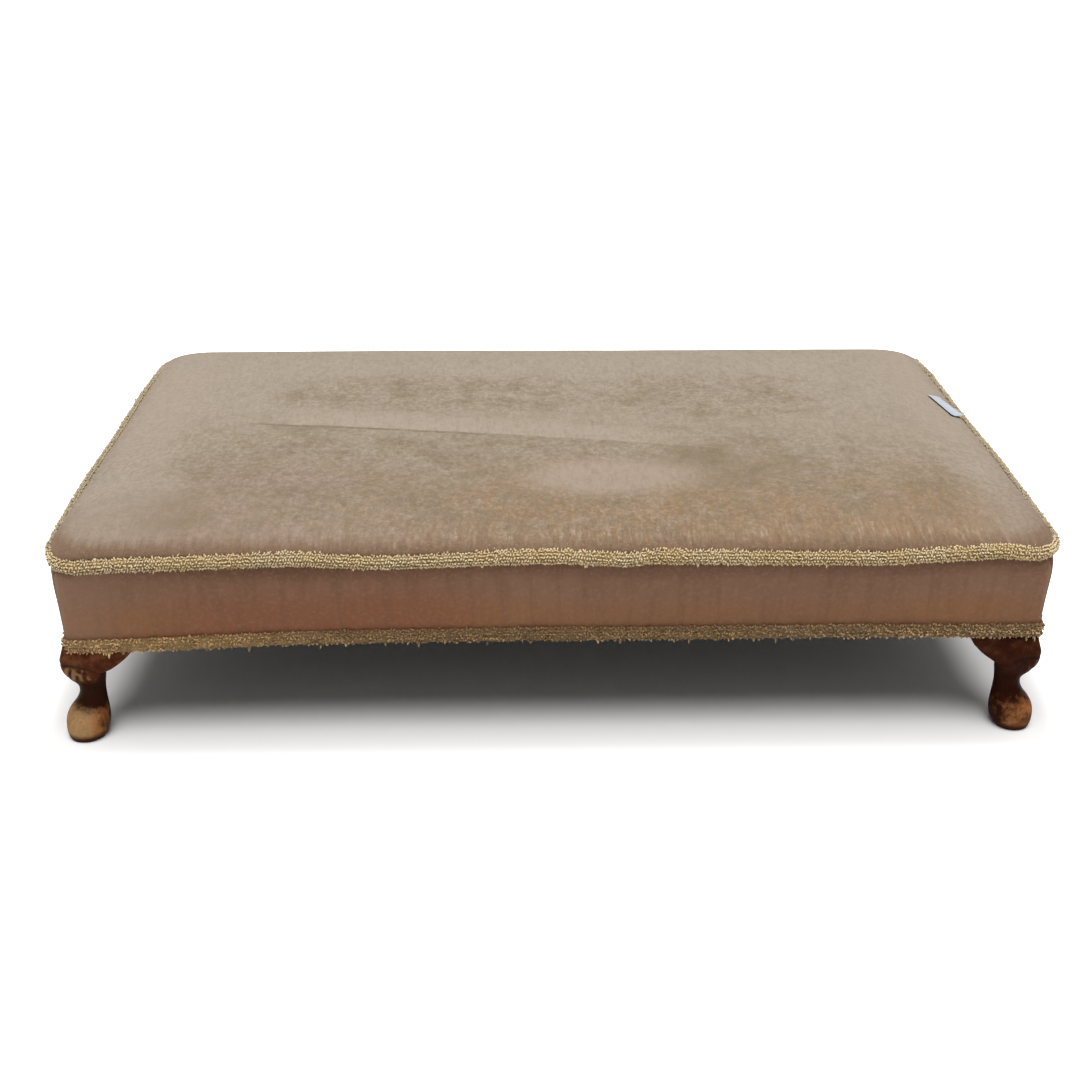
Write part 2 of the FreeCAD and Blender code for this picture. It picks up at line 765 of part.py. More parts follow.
twine_z = rail_top - mm("sizes.twine_diameter / 2 + sizes.layer_clearance")
weave_rise = mm("(sizes.webbing_thickness + sizes.weave_clearance) / 2")
spring_low = floor_to_rail + weave_rise + mm("sizes.layer_clearance")
spring_high = twine_z - mm("sizes.twine_diameter / 2 + sizes.layer_clearance")


def spring_point(turn, height):
    """Point and direction on the wire's middle line, after a number of turns."""
    end_radius = mm("(sizes.spring_end_diameter - sizes.spring_wire) / 2")
    waist_radius = mm("(sizes.spring_waist_diameter - sizes.spring_wire) / 2")
    share = turn / SPRING_TURNS
    flare = (2 * share - 1) ** 2
    radius = waist_radius + (end_radius - waist_radius) * flare
    growth = (end_radius - waist_radius) * 4 * (2 * share - 1) / SPRING_TURNS
    angle = 2 * math.pi * turn
    out = Vector(math.cos(angle), math.sin(angle), 0)
    around = Vector(-math.sin(angle), math.cos(angle), 0)
    point = out * radius + Vector(0, 0, height * share)
    heading = out * growth + around * (2 * math.pi * radius) + Vector(0, 0, height / SPRING_TURNS)
    return point, heading.normalize()


def arc_from(start, heading, end):
    """The arc that leaves a point along a heading and ends at another point."""
    chord = end - start
    sideways = heading - chord * (heading.dot(chord) / chord.dot(chord))
    half_angle = heading.getAngle(chord)
    sag = chord.Length / 2 * math.tan(half_angle / 2)
    middle = start + chord * 0.5 + sideways.normalize() * sag
    return Part.Arc(start, middle, end).toShape()


def biarc(first, first_heading, second, second_heading):
    """Two arcs that meet smoothly and join two points along their headings."""
    gap = second - first
    both = first_heading + second_heading
    spread = 2 * (1 - first_heading.dot(second_heading))
    lean = gap.dot(both)
    reach = (-lean + math.sqrt(lean * lean + spread * gap.dot(gap))) / spread
    joint = (first + second + (first_heading - second_heading) * reach) * 0.5
    back = arc_from(second, second_heading * -1, joint)
    return [arc_from(first, first_heading, joint), Part.Wire(back).Edges[0]]


def make_spring():
    """One waisted coil spring of round wire, standing on the origin."""
    wire = mm("sizes.spring_wire")
    height = spring_high - spring_low - wire
    spans = SPRING_TURNS * SPANS_PER_TURN
    stops = [spring_point(number / SPANS_PER_TURN, height) for number in range(spans + 1)]
    edges = []
    for (point, heading), (following, following_heading) in zip(stops, stops[1:]):
        edges.extend(biarc(point, heading, following, following_heading))
    path = Part.Wire(Part.__sortEdges__(edges))
    start, heading = stops[0]
    section = Part.Wire(Part.makeCircle(wire / 2, start, heading))
    coil = path.makePipeShell([section], True, False)
    expected = path.Length * math.pi * wire ** 2 / 4
    print(f"spring wire {path.Length:.0f} mm, volume {coil.Volume / expected:.3f} of section times length")
    step = height / SPRING_TURNS
    print(f"spring's least gap between turns about {step - wire:.1f} mm")
    return coil


def make_spring_rows():
    """Springs on the crossings of the webbing, in three rows."""
    coil = shaped("spring_single", make_spring())
    columns = cross_strap_x[::2]
    rows = (long_strap_y[0], long_strap_y[LONG_STRAPS // 2], long_strap_y[-1])
    base = spring_low + mm("sizes.spring_wire / 2")
    for name, y in zip(SPRING_ROWS, rows):
        spots = [Placement(Vector(x, y, base), Rotation()) for x in columns]
        keep(group(f"{name}_springs", coil, spots), f"{name}_spring_row")
    return columns, rows


spring_columns, spring_rows = make_spring_rows()


def make_twine():
    """Laid twine over every row and column of springs, from rail to rail, knotted where it crosses."""
    radius = mm("sizes.twine_diameter / 2")
    lines = []
    for y in spring_rows:
        lines.append(Part.makeCylinder(radius, 2 * rail_x, Vector(-rail_x, y, twine_z), Vector(1, 0, 0)))
    for x in spring_columns:
        lines.append(Part.makeCylinder(radius, 2 * rail_y, Vector(x, -rail_y, twine_z), Vector(0, 1, 0)))
    keep(shaped("twine_net", lines[0].multiFuse(lines[1:])), "spring_twine")


def border_rings(inset):
    """Rounded rectangles of the border's outline from its foot to the seam, drawn in by an inset."""
    low = floor_to_rail - mm("sizes.border_turn_under")
    wires = []
    for height_share, flare_share, radius_share in BORDER_SHARES:
        setback = mm("sizes.border_setback") - mm("sizes.border_flare") * flare_share
        radius = mm("sizes.cord_corner_radius") * radius_share - inset / 2
        wires.append(centred_wire(
            mm("sizes.overall_length / 2") - setback - inset,
            mm("sizes.overall_depth / 2") - setback - inset,
            radius, low + (seam_z - low) * height_share,
        ))
    return wires


def crown_rings(inset):
    """Rounded rectangles of the crowned top from the seam up, drawn in by an inset."""
    rise = mm("sizes.crown_rise") - inset
    wires = []
    for rise_share, run_share, radius_share in CROWN_SHARES:
        setback = mm("sizes.crown_run") * run_share + inset
        wires.append(centred_wire(
            mm("sizes.overall_length / 2") - setback,
            mm("sizes.overall_depth / 2") - setback,
            mm("sizes.cord_corner_radius") * radius_share - inset / 2,
            seam_z + rise * rise_share,
        ))
    return wires


def side_faces(rings):
    """The faces between neighbouring rings, with each one that is flat made as a plane."""
    faces = []
    for face in Part.makeLoft(rings, False, True).Faces:
        flat = face.OuterWire.findPlane()
        faces.append(Part.Face(face.OuterWire) if flat else face)
    return faces


def closed_solid(faces):
    """The solid inside faces that meet all round."""
    joined = Part.Shell(faces)
    joined.sewShape()
    solid = Part.Solid(joined)
    if solid.Volume < 0:
        solid.reverse()
    return solid


def core_of(rings):
    """The solid that a set of rings goes round."""
    return closed_solid(side_faces(rings) + [Part.Face(rings[0]), Part.Face(rings[-1])])


def skin_between(outer, inner, closed_above):
    """The solid layer between two sets of rings, open at the foot and open or closed above."""
    faces = side_faces(outer) + side_faces(inner)
    faces.append(Part.makeFace([outer[0], inner[0]], "Part::FaceMakerBullseye"))
    if closed_above:
        faces.extend([Part.Face(outer[-1]), Part.Face(inner[-1])])
    else:
        faces.append(Part.makeFace([outer[-1], inner[-1]], "Part::FaceMakerBullseye"))
    return closed_solid(faces)


velvet = mm("sizes.velvet_thickness")
under_wadding = velvet + mm("sizes.wadding_thickness")
under_calico = under_wadding + mm("sizes.calico_thickness")


def make_hidden_layers():
    """Hessian, stitched edge, stuffings and wadding, from the springs up."""
    hessian_low = rail_top
    hessian_high = hessian_low + mm("sizes.hessian_thickness")
    scrim_low = seam_z - mm("sizes.scrim_thickness")
    half_length = f"({RAIL_HALF_LENGTH} - sizes.hessian_setback)"
    half_depth = f"({RAIL_HALF_DEPTH} - sizes.hessian_setback)"
    keep(box(
        "hessian_sheet", f"2 * {half_length}", f"2 * {half_depth}", "sizes.hessian_thickness",
        f"-{half_length}", f"-{half_depth}", RAIL_TOP,
    ), "spring_hessian")

    gap = mm("sizes.layer_clearance")
    cavity = core_of(border_rings(velvet + gap))
    roll = mm("sizes.edge_roll_width")
    inner_x = rail_end_x - roll
    inner_y = rail_end_y - roll
    radius = mm("sizes.rail_corner_radius")
    slab = Part.makeBox(
        2 * rail_end_x + 2 * roll, 2 * rail_end_y + 2 * roll, scrim_low - hessian_high,
        Vector(-rail_end_x - roll, -rail_end_y - roll, hessian_high),
    )
    hole = Part.Face(centred_wire(inner_x, inner_y, radius, hessian_high - overrun)).extrude(
        Vector(0, 0, scrim_low - hessian_high + 2 * overrun))
    keep(shaped("edge_roll_ring", cavity.common(slab).cut(hole)), "edge_roll")
    core = Part.Face(centred_wire(inner_x - gap, inner_y - gap, radius, hessian_high)).extrude(
        Vector(0, 0, scrim_low - hessian_high))
    keep(shaped("first_stuffing_slab", core), "first_stuffing")
    scrim_slab = Part.makeBox(
        2 * rail_end_x + 2 * roll, 2 * rail_end_y + 2 * roll, mm("sizes.scrim_thickness"),
        Vector(-rail_end_x - roll, -rail_end_y - roll, scrim_low),
    )
    keep(shaped("scrim_sheet", cavity.common(scrim_slab)), "scrim")

    wrap_slab = Part.makeBox(
        2 * rail_end_x + 2 * roll, 2 * rail_end_y + 2 * roll, mm("sizes.rail_height"),
        Vector(-rail_end_x - roll, -rail_end_y - roll, floor_to_rail),
    )
    frame_core = Part.Face(centred_wire(rail_end_x, rail_end_y, radius, floor_to_rail - overrun)).extrude(
        Vector(0, 0, mm("sizes.rail_height") + 2 * overrun))
    wrap = cavity.common(wrap_slab).cut(frame_core)
    keep(shaped("side_wadding_bored", wrap.cut(gimp_pin_bores.Shape.Solids)), "side_wadding")

    stuffing_rings = crown_rings(under_calico)
    calico_rings = crown_rings(under_wadding)
    wadding_rings = crown_rings(velvet)
    keep(shaped("crown_core", core_of(stuffing_rings)), "top_stuffing")
    keep(shaped("calico_skin", skin_between(calico_rings, stuffing_rings, True)), "calico_cover")
    keep(shaped("wadding_skin", skin_between(wadding_rings, calico_rings, True)), "wadding")
    keep(shaped("velvet_skin", skin_between(crown_rings(0), wadding_rings, True)), "top_cover")


def make_borders():
    """Four velvet panels round the sides, meeting at seams on the corners."""
    shell = skin_between(border_rings(0), border_rings(velvet), False)
    far_x = mm("sizes.overall_length / 2") + overrun
    far_y = mm("sizes.overall_depth / 2") + overrun
    near = mm("sizes.overall_depth / 4")
    height = mm(SEAM_Z) + overrun
    in_x = far_x - near
    in_y = far_y - near
    wedges = {
        "front_border": ((-far_x, -far_y), (far_x, -far_y), (in_x, -in_y), (-in_x, -in_y)),
        "back_border": ((far_x, far_y), (-far_x, far_y), (-in_x, in_y), (in_x, in_y)),
        "left_border": ((-far_x, far_y), (-far_x, -far_y), (-in_x, -in_y), (-in_x, in_y)),
        "right_border": ((far_x, -far_y), (far_x, far_y), (in_x, in_y), (in_x, -in_y)),
    }
    for label, corners in wedges.items():
        points = [Vector(x, y, 0) for x, y in corners]
        prism = Part.Face(Part.makePolygon(points + points[:1])).extrude(Vector(0, 0, height))
        panel = shell.common(prism)
        for bore in gimp_pin_bores.Shape.Solids:
            if bore.BoundBox.intersect(panel.BoundBox):
                panel = panel.cut(bore)
        keep(shaped(f"{label}_panel", panel), label)


def make_cord():
    """Thick ruche cord all round, its heel sewn into the valley between the top and the border."""
    radius = mm("sizes.cord_diameter / 2")
    bend = mm("sizes.cord_corner_radius") - radius
    path = centred_wire(
        mm("sizes.overall_length / 2") - radius, mm("sizes.overall_depth / 2") - radius, bend, seam_z)
    start = path.Edges[0].Vertexes[0].Point
    along = path.Edges[0].tangentAt(path.Edges[0].FirstParameter)
    outward = along.cross(upward)

    def spot(out, rise):
        return start + outward * out + upward * rise

    back = mm("sizes.cord_back_clearance")
    heel = mm("sizes.cord_heel_depth")
    half_heel = mm("sizes.cord_heel_height / 2")
    level = math.sqrt(radius ** 2 - back ** 2)
    section = Part.Wire([
        Part.Arc(spot(back, level), spot(radius, 0), spot(back, -level)).toShape(),
        Part.LineSegment(spot(back, -level), spot(back, -half_heel)).toShape(),
        Part.LineSegment(spot(back, -half_heel), spot(-heel, 0)).toShape(),
        Part.LineSegment(spot(-heel, 0), spot(back, half_heel)).toShape(),
        Part.LineSegment(spot(back, half_heel), spot(back, level)).toShape(),
    ])
    keep(shaped("cord_ring", path.makePipeShell([section], True, False)), "top_cord")


def make_lower_trim():
    """Flatter ruche trim round the foot of the border."""
    height = mm("sizes.trim_height")
    inner_radius = mm("sizes.cord_corner_radius") * BORDER_SHARES[0][2]
    thick = mm("sizes.trim_thickness - sizes.trim_gap")
    outer = centred_wire(trim_outer_x, trim_outer_y, inner_radius + thick, trim_low)
    block = Part.Face(outer).extrude(Vector(0, 0, height))
    level_edges = [edge for edge in block.Edges if edge.BoundBox.ZLength < clearance]
    soft = block.makeFillet(mm("sizes.trim_edge_radius"), level_edges)
    core = Part.Face(centred_wire(
        trim_outer_x - thick, trim_outer_y - thick, inner_radius, trim_low - overrun,
    )).extrude(Vector(0, 0, height + 2 * overrun))
    band = shaped("trim_band", soft.cut(core))
    keep(cut("trim_bored", band, gimp_pin_bores), "lower_trim")


def make_dust_cover():
    """Black cotton sheet that closes the underside, notched round the legs."""
    inner = mm("sizes.leg_square") * -LEG_SHARES[0][2] + mm("sizes.dust_cover_notch_clearance")
    blank = Part.makeBox(
        2 * dust_half_length, 2 * dust_half_depth, mm("sizes.dust_cover_thickness"),
        Vector(-dust_half_length, -dust_half_depth, dust_cover_low),
    )
    notches = []
    for x, y, side_x, side_y in each_side(corner_x - inner, corner_y - inner):
        far_x = side_x * corner_x
        far_y = side_y * corner_y
        notches.append(Part.makeBox(
            inner, inner, 2 * overrun, Vector(min(x, far_x), min(y, far_y), dust_cover_low - overrun)))
    notched = shaped("dust_cover_sheet", blank.cut(Part.makeCompound(notches)))
    keep(cut("dust_cover_bored", notched, dust_tack_bores), "dust_cover")


def crown_heights():
    """Points on the crown's outline at the middle of a side: distance from the middle and height."""
    points = []
    for rise_share, run_share, _ in CROWN_SHARES:
        out = mm("sizes.overall_length / 2") - mm("sizes.crown_run") * run_share
        points.append(Vector(out, 0, seam_z + mm("sizes.crown_rise") * rise_share))
    outline = Part.BSplineCurve()
    outline.interpolate(points)
    widest = max(points, key=lambda point: point.x)
    fine = outline.discretize(Number=FINE_STEPS)
    return [(point.x, point.z) for point in fine if point.z >= widest.z]


def make_ticket():
    """Small blank paper ticket that lies on the cover and follows its curve."""
    outline = crown_heights()

    def height_at(x):
        for (far, low), (near, high) in zip(outline, outline[1:]):
            if near <= x <= far:
                return low + (high - low) * (far - x) / (far - near)
        return outline[0][1] if x > outline[0][0] else outline[-1][1]

    length = mm("sizes.ticket_length")
    width = mm("sizes.ticket_width")
    middle = Vector(mm("sizes.overall_length / 2 - sizes.ticket_setback"), mm("sizes.ticket_from_middle"), 0)
    turn = Rotation(upward, mm("sizes.ticket_turn_degrees"))
    grid = []
    for along_share in TICKET_SHARES:
        row_points = []
        for across_share in TICKET_SHARES:
            point = middle + turn.multVec(Vector(width * across_share, length * along_share, 0))
            row_points.append(Vector(point.x, point.y, height_at(point.x) + mm("sizes.ticket_lift")))
        grid.append(row_points)
    sheet_surface = Part.BSplineSurface()
    sheet_surface.interpolate(grid)
    slip = sheet_surface.toShape().extrude(Vector(0, 0, mm("sizes.ticket_thickness")))
    keep(shaped("ticket_slip", slip), "paper_ticket")


make_twine()
make_hidden_layers()
make_borders()
make_cord()
make_lower_trim()
make_dust_cover()
make_ticket()

doc.recompute()
for item in doc.Objects:
    if "Invalid" in item.State or "Error" in item.State:
        raise RuntimeError(f"{item.Name} failed: {item.State}")
for item in pieces:
    if item.Shape.isNull() or not item.Shape.isValid():
        raise RuntimeError(f"{item.Label} has no valid shape")

os.makedirs("parts", exist_ok=True)
for item in pieces:
    item.Shape.exportStep(f"parts/{item.Label}.step")
    print(f"{item.Label}: {len(item.Shape.Solids)} solids, {item.Shape.Volume:.0f} mm3")
print(f"{len(pieces)} pieces")
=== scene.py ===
import bmesh
import bpy
import math
import numpy as np
from functools import reduce
from mathutils import Matrix, Vector, noise
from mathutils.bvhtree import BVHTree
from types import SimpleNamespace


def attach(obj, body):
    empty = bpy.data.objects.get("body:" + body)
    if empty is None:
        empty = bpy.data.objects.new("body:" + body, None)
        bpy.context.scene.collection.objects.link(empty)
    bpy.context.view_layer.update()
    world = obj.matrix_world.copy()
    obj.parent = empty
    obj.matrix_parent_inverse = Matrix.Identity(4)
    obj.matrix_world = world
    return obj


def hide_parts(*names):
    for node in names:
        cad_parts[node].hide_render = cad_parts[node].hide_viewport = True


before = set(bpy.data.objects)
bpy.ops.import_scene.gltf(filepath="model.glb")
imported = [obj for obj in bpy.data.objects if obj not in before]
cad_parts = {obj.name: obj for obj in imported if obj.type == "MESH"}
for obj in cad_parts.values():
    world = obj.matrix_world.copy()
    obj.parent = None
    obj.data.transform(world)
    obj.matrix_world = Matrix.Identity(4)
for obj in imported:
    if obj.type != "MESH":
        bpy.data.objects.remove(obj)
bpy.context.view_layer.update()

# Camera
# It stands before the stool, a little to the left of its middle, and looks down on the top.
# The place, the turns and the lens were fitted to the corners of the cord and the feet.
CAMERA_PLACE = Vector((-0.04471, -1.48527, 0.8150))
CAMERA_YAW = math.radians(1.371)
CAMERA_PITCH = math.radians(26.413)
CAMERA_ROLL = math.radians(0.195)
CAMERA_LENS = 46.67

camera = bpy.data.objects.new("camera", bpy.data.cameras.new("camera"))
camera.data.lens = CAMERA_LENS
bpy.context.scene.collection.objects.link(camera)
camera.matrix_world = (
    Matrix.Translation(CAMERA_PLACE)
    @ Matrix.Rotation(-CAMERA_YAW, 4, "Z")
    @ Matrix.Rotation(math.pi / 2 - CAMERA_PITCH, 4, "X")
    @ Matrix.Rotation(CAMERA_ROLL, 4, "Z")
)
bpy.context.scene.camera = camera
bpy.context.scene.view_settings.view_transform = "Standard"

# Floor and light
# A plain white floor under one broad soft light that comes from above and a little from the
# front, in a dim white room. Clear of the stool the camera sees the floor as the white backdrop.
FLOOR_HALF = 20
FLOOR_COLOUR = (0.95, 0.95, 0.95)
FLOOR_FLECK = (0.96, 0.96, 0.96)
# The floor keeps its shade under the stool and fades to the backdrop over a short way round it.
SHADE_HALF_LENGTH = 0.5
SHADE_HALF_DEPTH = 0.304
BACKDROP_FULL = 0.1
ROOM_LIGHT = 0.19
LIGHT_TILT = math.radians(9)
LIGHT_SPREAD = math.radians(50)
LIGHT_LEVEL = 3.18


class Paint:
    """A procedural material: nodes that end in one Principled shader."""

    def __init__(self, name, roughness, **fixed):
        self.material = bpy.data.materials.new(name)
        self.material.use_nodes = True
        self.tree = self.material.node_tree
        self.shader = self.tree.nodes["Principled BSDF"]
        self.shader.inputs["Roughness"].default_value = roughness
        for socket, value in fixed.items():
            self.shader.inputs[socket.replace("_", " ")].default_value = value
        self.place = self.node("ShaderNodeTexCoord").outputs["Object"]
        self.split = self.node("ShaderNodeSeparateXYZ", Vector=self.place).outputs
        self.colour = None

    def node(self, kind, settings=(), **inputs):
        """A new node with its settings, its named inputs linked or set."""
        made = self.tree.nodes.new(kind)
        for setting, value in dict(settings).items():
            setattr(made, setting, value)
        for socket, value in inputs.items():
            self.feed(made.inputs[socket.replace("_", " ")], value)
        return made

    def feed(self, socket, value):
        """Links a node's output to a socket, or sets the socket to a plain value."""
        if isinstance(value, bpy.types.NodeSocket):
            self.tree.links.new(value, socket)
        else:
            socket.default_value = value

    def stretched(self, x, y, z, turn=0.0):
        """The object's coordinates turned about Z and then scaled along each axis."""
        turned = self.node("ShaderNodeMapping", Vector=self.place, Rotation=(0, 0, turn))
        made = self.node("ShaderNodeMapping", Vector=turned.outputs[0], Scale=(x, y, z))
        return made.outputs[0]

    def noise(self, scale, detail=3.0, rough=0.55, place=None, bend=0.0):
        made = self.node(
            "ShaderNodeTexNoise", Vector=place or self.place, Scale=scale, Detail=detail,
            Roughness=rough, Distortion=bend,
        )
        return made.outputs[0]

    def cells(self, scale, place=None):
        made = self.node("ShaderNodeTexVoronoi", Vector=place or self.place, Scale=scale)
        return made.outputs["Distance"]

    def waves(self, scale, axis, bend, place):
        settings = {"bands_direction": axis}
        made = self.node("ShaderNodeTexWave", settings, Vector=place, Scale=scale, Distortion=bend)
        return made.outputs["Fac"]

    def attribute(self, name):
        return self.node("ShaderNodeAttribute", {"attribute_name": name}).outputs["Fac"]

    def maths(self, operation, *values):
        made = self.node("ShaderNodeMath", {"operation": operation})
        for socket, value in zip(made.inputs, values):
            self.feed(socket, value)
        return made.outputs[0]

    def times(self, *values):
        return reduce(lambda first, second: self.maths("MULTIPLY", first, second), values)

    def plus(self, *values):
        return reduce(lambda first, second: self.maths("ADD", first, second), values)

    def most(self, *values):
        return reduce(lambda first, second: self.maths("MAXIMUM", first, second), values)

    def less(self, value, taken):
        return self.maths("SUBTRACT", value, taken)

    def scaled(self, value, factor, shift):
        return self.maths("MULTIPLY_ADD", value, factor, shift)

    def stray(self, value, drift, reach):
        """The value moved by a noise, up to half that reach each way."""
        return self.plus(value, self.scaled(drift, reach, -reach / 2))

    def ramp(self, value, low, high, from_share=0.0, to_share=1.0):
        """A smooth step from one share to another as the value goes from low to high."""
        made = self.node(
            "ShaderNodeMapRange", {"interpolation_type": "SMOOTHSTEP"}, Value=value, From_Min=low,
            From_Max=high, To_Min=from_share, To_Max=to_share,
        )
        return made.outputs[0]

    def mix(self, share, first, second, blend="MIX"):
        made = self.node("ShaderNodeMix", {"data_type": "RGBA", "blend_type": blend})
        for number, value in ((0, share), (6, first), (7, second)):
            if isinstance(value, tuple) and len(value) == 3:
                value = (*value, 1)
            self.feed(made.inputs[number], value)
        return made.outputs[2]

    def lay(self, share, tone, blend="MIX"):
        """Lays a share of a tone over the colour so far."""
        self.colour = self.mix(share, self.colour, tone, blend)

    def finish(self, *reliefs, roughness=None):
        """The material, with reliefs laid over one another: each a height and its depth in metres."""
        self.feed(self.shader.inputs["Base Color"], self.colour)
        if roughness:
            self.feed(self.shader.inputs["Roughness"], roughness)
        target = self.shader.inputs["Normal"]
        for height, depth in reversed(reliefs):
            made = self.node("ShaderNodeBump", Height=height, Strength=1.0, Distance=depth)
            self.feed(target, made.outputs[0])
            target = made.inputs["Normal"]
        return self.material


def new_piece(name, mesh, material):
    """An object at the origin that shows a mesh, with smooth shading."""
    made = bpy.data.objects.new(name, mesh)
    bpy.context.scene.collection.objects.link(made)
    mesh.materials.clear()
    mesh.materials.append(material)
    mesh.shade_smooth()
    return made


def mesh_from(form, name):
    """The mesh of a bmesh, with its normals outward."""
    bmesh.ops.recalc_face_normals(form, faces=form.faces)
    mesh = bpy.data.meshes.new(name)
    form.to_mesh(mesh)
    form.free()
    return mesh


form = bmesh.new()
bmesh.ops.create_grid(form, x_segments=1, y_segments=1, size=FLOOR_HALF)
paint = Paint("pale_floor", 0.9, Specular_IOR_Level=0.1, Emission_Color=(1, 1, 1, 1))
paint.colour = paint.mix(paint.noise(6.0), FLOOR_COLOUR, FLOOR_FLECK)
past_end, past_front = (
    paint.most(paint.less(paint.maths("ABSOLUTE", paint.split[axis]), half), 0.0)
    for axis, half in (("X", SHADE_HALF_LENGTH), ("Y", SHADE_HALF_DEPTH))
)
away = paint.maths("SQRT", paint.scaled(past_end, past_end, paint.times(past_front, past_front)))
far = paint.ramp(away, 0.0, BACKDROP_FULL)
rays = paint.node("ShaderNodeLightPath").outputs
looked_at = paint.plus(rays["Is Camera Ray"], rays["Is Glossy Ray"], rays["Is Transmission Ray"])
backdrop = paint.times(far, paint.maths("MINIMUM", looked_at, 1.0))
paint.feed(paint.shader.inputs["Emission Strength"], backdrop)
floor = new_piece("floor", mesh_from(form, "floor"), paint.finish())

lamp = bpy.data.objects.new("soft_light", bpy.data.lights.new("soft_light", "SUN"))
lamp.data.angle = LIGHT_SPREAD
lamp.data.energy = LIGHT_LEVEL
lamp.rotation_euler = (LIGHT_TILT, 0, 0)
bpy.context.scene.collection.objects.link(lamp)

world = bpy.data.worlds.new("white_room")
bpy.context.scene.world = world
world.use_nodes = True
room = world.node_tree
background = room.nodes["Background"]
background.inputs["Color"].default_value = (1, 1, 1, 1)
rays = room.nodes.new("ShaderNodeLightPath")
seen = room.nodes.new("ShaderNodeMath")
seen.operation = "MAXIMUM"
room.links.new(rays.outputs["Is Camera Ray"], seen.inputs[0])
room.links.new(rays.outputs["Is Transmission Ray"], seen.inputs[1])
level = room.nodes.new("ShaderNodeMapRange")
level.inputs["To Min"].default_value = ROOM_LIGHT
room.links.new(seen.outputs[0], level.inputs["Value"])
room.links.new(level.outputs[0], background.inputs["Strength"])

# Beech rails and blocks
# Sawn beech rails, dowelled at the corners, with glued blocks screwed into them.
# They are never seen once the stool is covered, so they are left raw from the saw.
BEECH_LIGHT = (0.62, 0.45, 0.28)
BEECH_DARK = (0.47, 0.31, 0.18)
BEECH_FLECK = (0.36, 0.22, 0.12)


def dress(names, material):
    """Gives pieces carried over from the frame their material."""
    for name in names:
        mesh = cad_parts[name].data
        if not mesh.materials:
            mesh.materials.append(material)
        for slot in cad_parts[name].material_slots:
            slot.material = material


def raw_beech(name, along):
    """Sawn beech with its grain along one axis."""
    paint = Paint(name, 0.75, Specular_IOR_Level=0.3)
    stretch = {"X": (6, 90, 90), "Y": (90, 6, 90), "Z": (90, 90, 6)}[along]
    grain = paint.noise(1.0, 5.0, 0.6, paint.stretched(*stretch), 0.4)
    flecks = paint.cells(1.0, paint.stretched(*(2.5 * value for value in stretch)))
    paint.colour = paint.mix(paint.ramp(grain, 0.3, 0.7), BEECH_LIGHT, BEECH_DARK)
    paint.lay(paint.ramp(flecks, 0.32, 0.1, 0.0, 0.5), BEECH_FLECK)
    return paint.finish((grain, 0.0004))


CORNERS = ("front_left", "front_right", "back_left", "back_right")
dress(("front_rail", "back_rail"), raw_beech("beech_long", "X"))
dress(("left_rail", "right_rail"), raw_beech("beech_short", "Y"))
blocks = [f"{corner}_corner_block" for corner in CORNERS]
dress([*blocks, "corner_dowels", "leg_pegs"], raw_beech("beech_upright", "Z"))

# Metal fastenings and springs
# Plain steel screws, blued tacks and ear pins, brassed gimp pins through the lower trim, and
# coppered steel coil springs that stand on the webbing.


def metal(name, light, dark, roughness):
    """Dull metal with a tarnish that comes and goes."""
    paint = Paint(name, roughness, Metallic=1.0)
    tarnish = paint.noise(260.0, 4.0)
    paint.colour = paint.mix(paint.ramp(tarnish, 0.35, 0.65), light, dark)
    rough = paint.ramp(tarnish, 0.3, 0.7, roughness, roughness + 0.25)
    return paint.finish((tarnish, 0.0001), roughness=rough)


dress(["corner_block_screws"], metal("screw_steel", (0.45, 0.43, 0.4), (0.25, 0.2, 0.16), 0.35))
dress(
    ["webbing_tacks", "dust_cover_tacks", "ear_pins"],
    metal("blued_iron", (0.07, 0.07, 0.08), (0.04, 0.035, 0.03), 0.45),
)
dress(["gimp_pins"], metal("dull_brass", (0.5, 0.38, 0.18), (0.25, 0.17, 0.08), 0.4))
dress(
    ["front_spring_row", "middle_spring_row", "back_spring_row"],
    metal("coppered_wire", (0.5, 0.28, 0.17), (0.2, 0.13, 0.1), 0.35),
)

# Webbing, twine, hessian and scrim
# Brown jute webbing woven under the rails carries the springs. Hemp twine lashes them down, and
# coarse hessian lies over them; a second cloth, the scrim, covers the first stuffing.


def woven(name, light, dark, thread, depth, roughness=0.9, along=0.0):
    """Plain cloth whose threads are that wide, along X and Y, with uneven yarn."""
    paint = Paint(name, roughness, Specular_IOR_Level=0.2)
    place = paint.stretched(1, 1, 1, along)
    scale = math.pi / (10 * thread)
    warp = paint.waves(scale, "X", 0.6, place)
    weft = paint.waves(scale, "Y", 0.6, place)
    yarn = paint.noise(0.35 / thread, 4.0, 0.6)
    weave = paint.times(paint.most(warp, weft), paint.ramp(yarn, 0.2, 0.8, 0.6, 1.0))
    paint.colour = paint.mix(paint.ramp(weave, 0.25, 0.85), dark, light)
    paint.lay(paint.ramp(paint.noise(14.0), 0.35, 0.7, 0.0, 0.35), dark)
    return paint.finish((weave, depth))


webbing = [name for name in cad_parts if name.startswith(("webbing_long", "webbing_cross"))]
jute = woven("jute_webbing", (0.55, 0.43, 0.28), (0.3, 0.21, 0.12), 0.0018, 0.0004)
twine = woven("hemp_twine", (0.6, 0.48, 0.32), (0.36, 0.27, 0.16), 0.0008, 0.0004, 0.8, 0.7)
dress(webbing, jute)
dress(["spring_twine"], twine)
dress(["spring_hessian", "scrim"], woven("hessian", (0.55, 0.43, 0.29), (0.25, 0.18, 0.1), 0.0016, 0.0005))

# Stuffings, calico and wadding
# Ginger fibre makes the stitched edge and the first stuffing, curled hair the top one. Calico
# holds them down, and cotton wadding softens the top and the sides under the velvet.


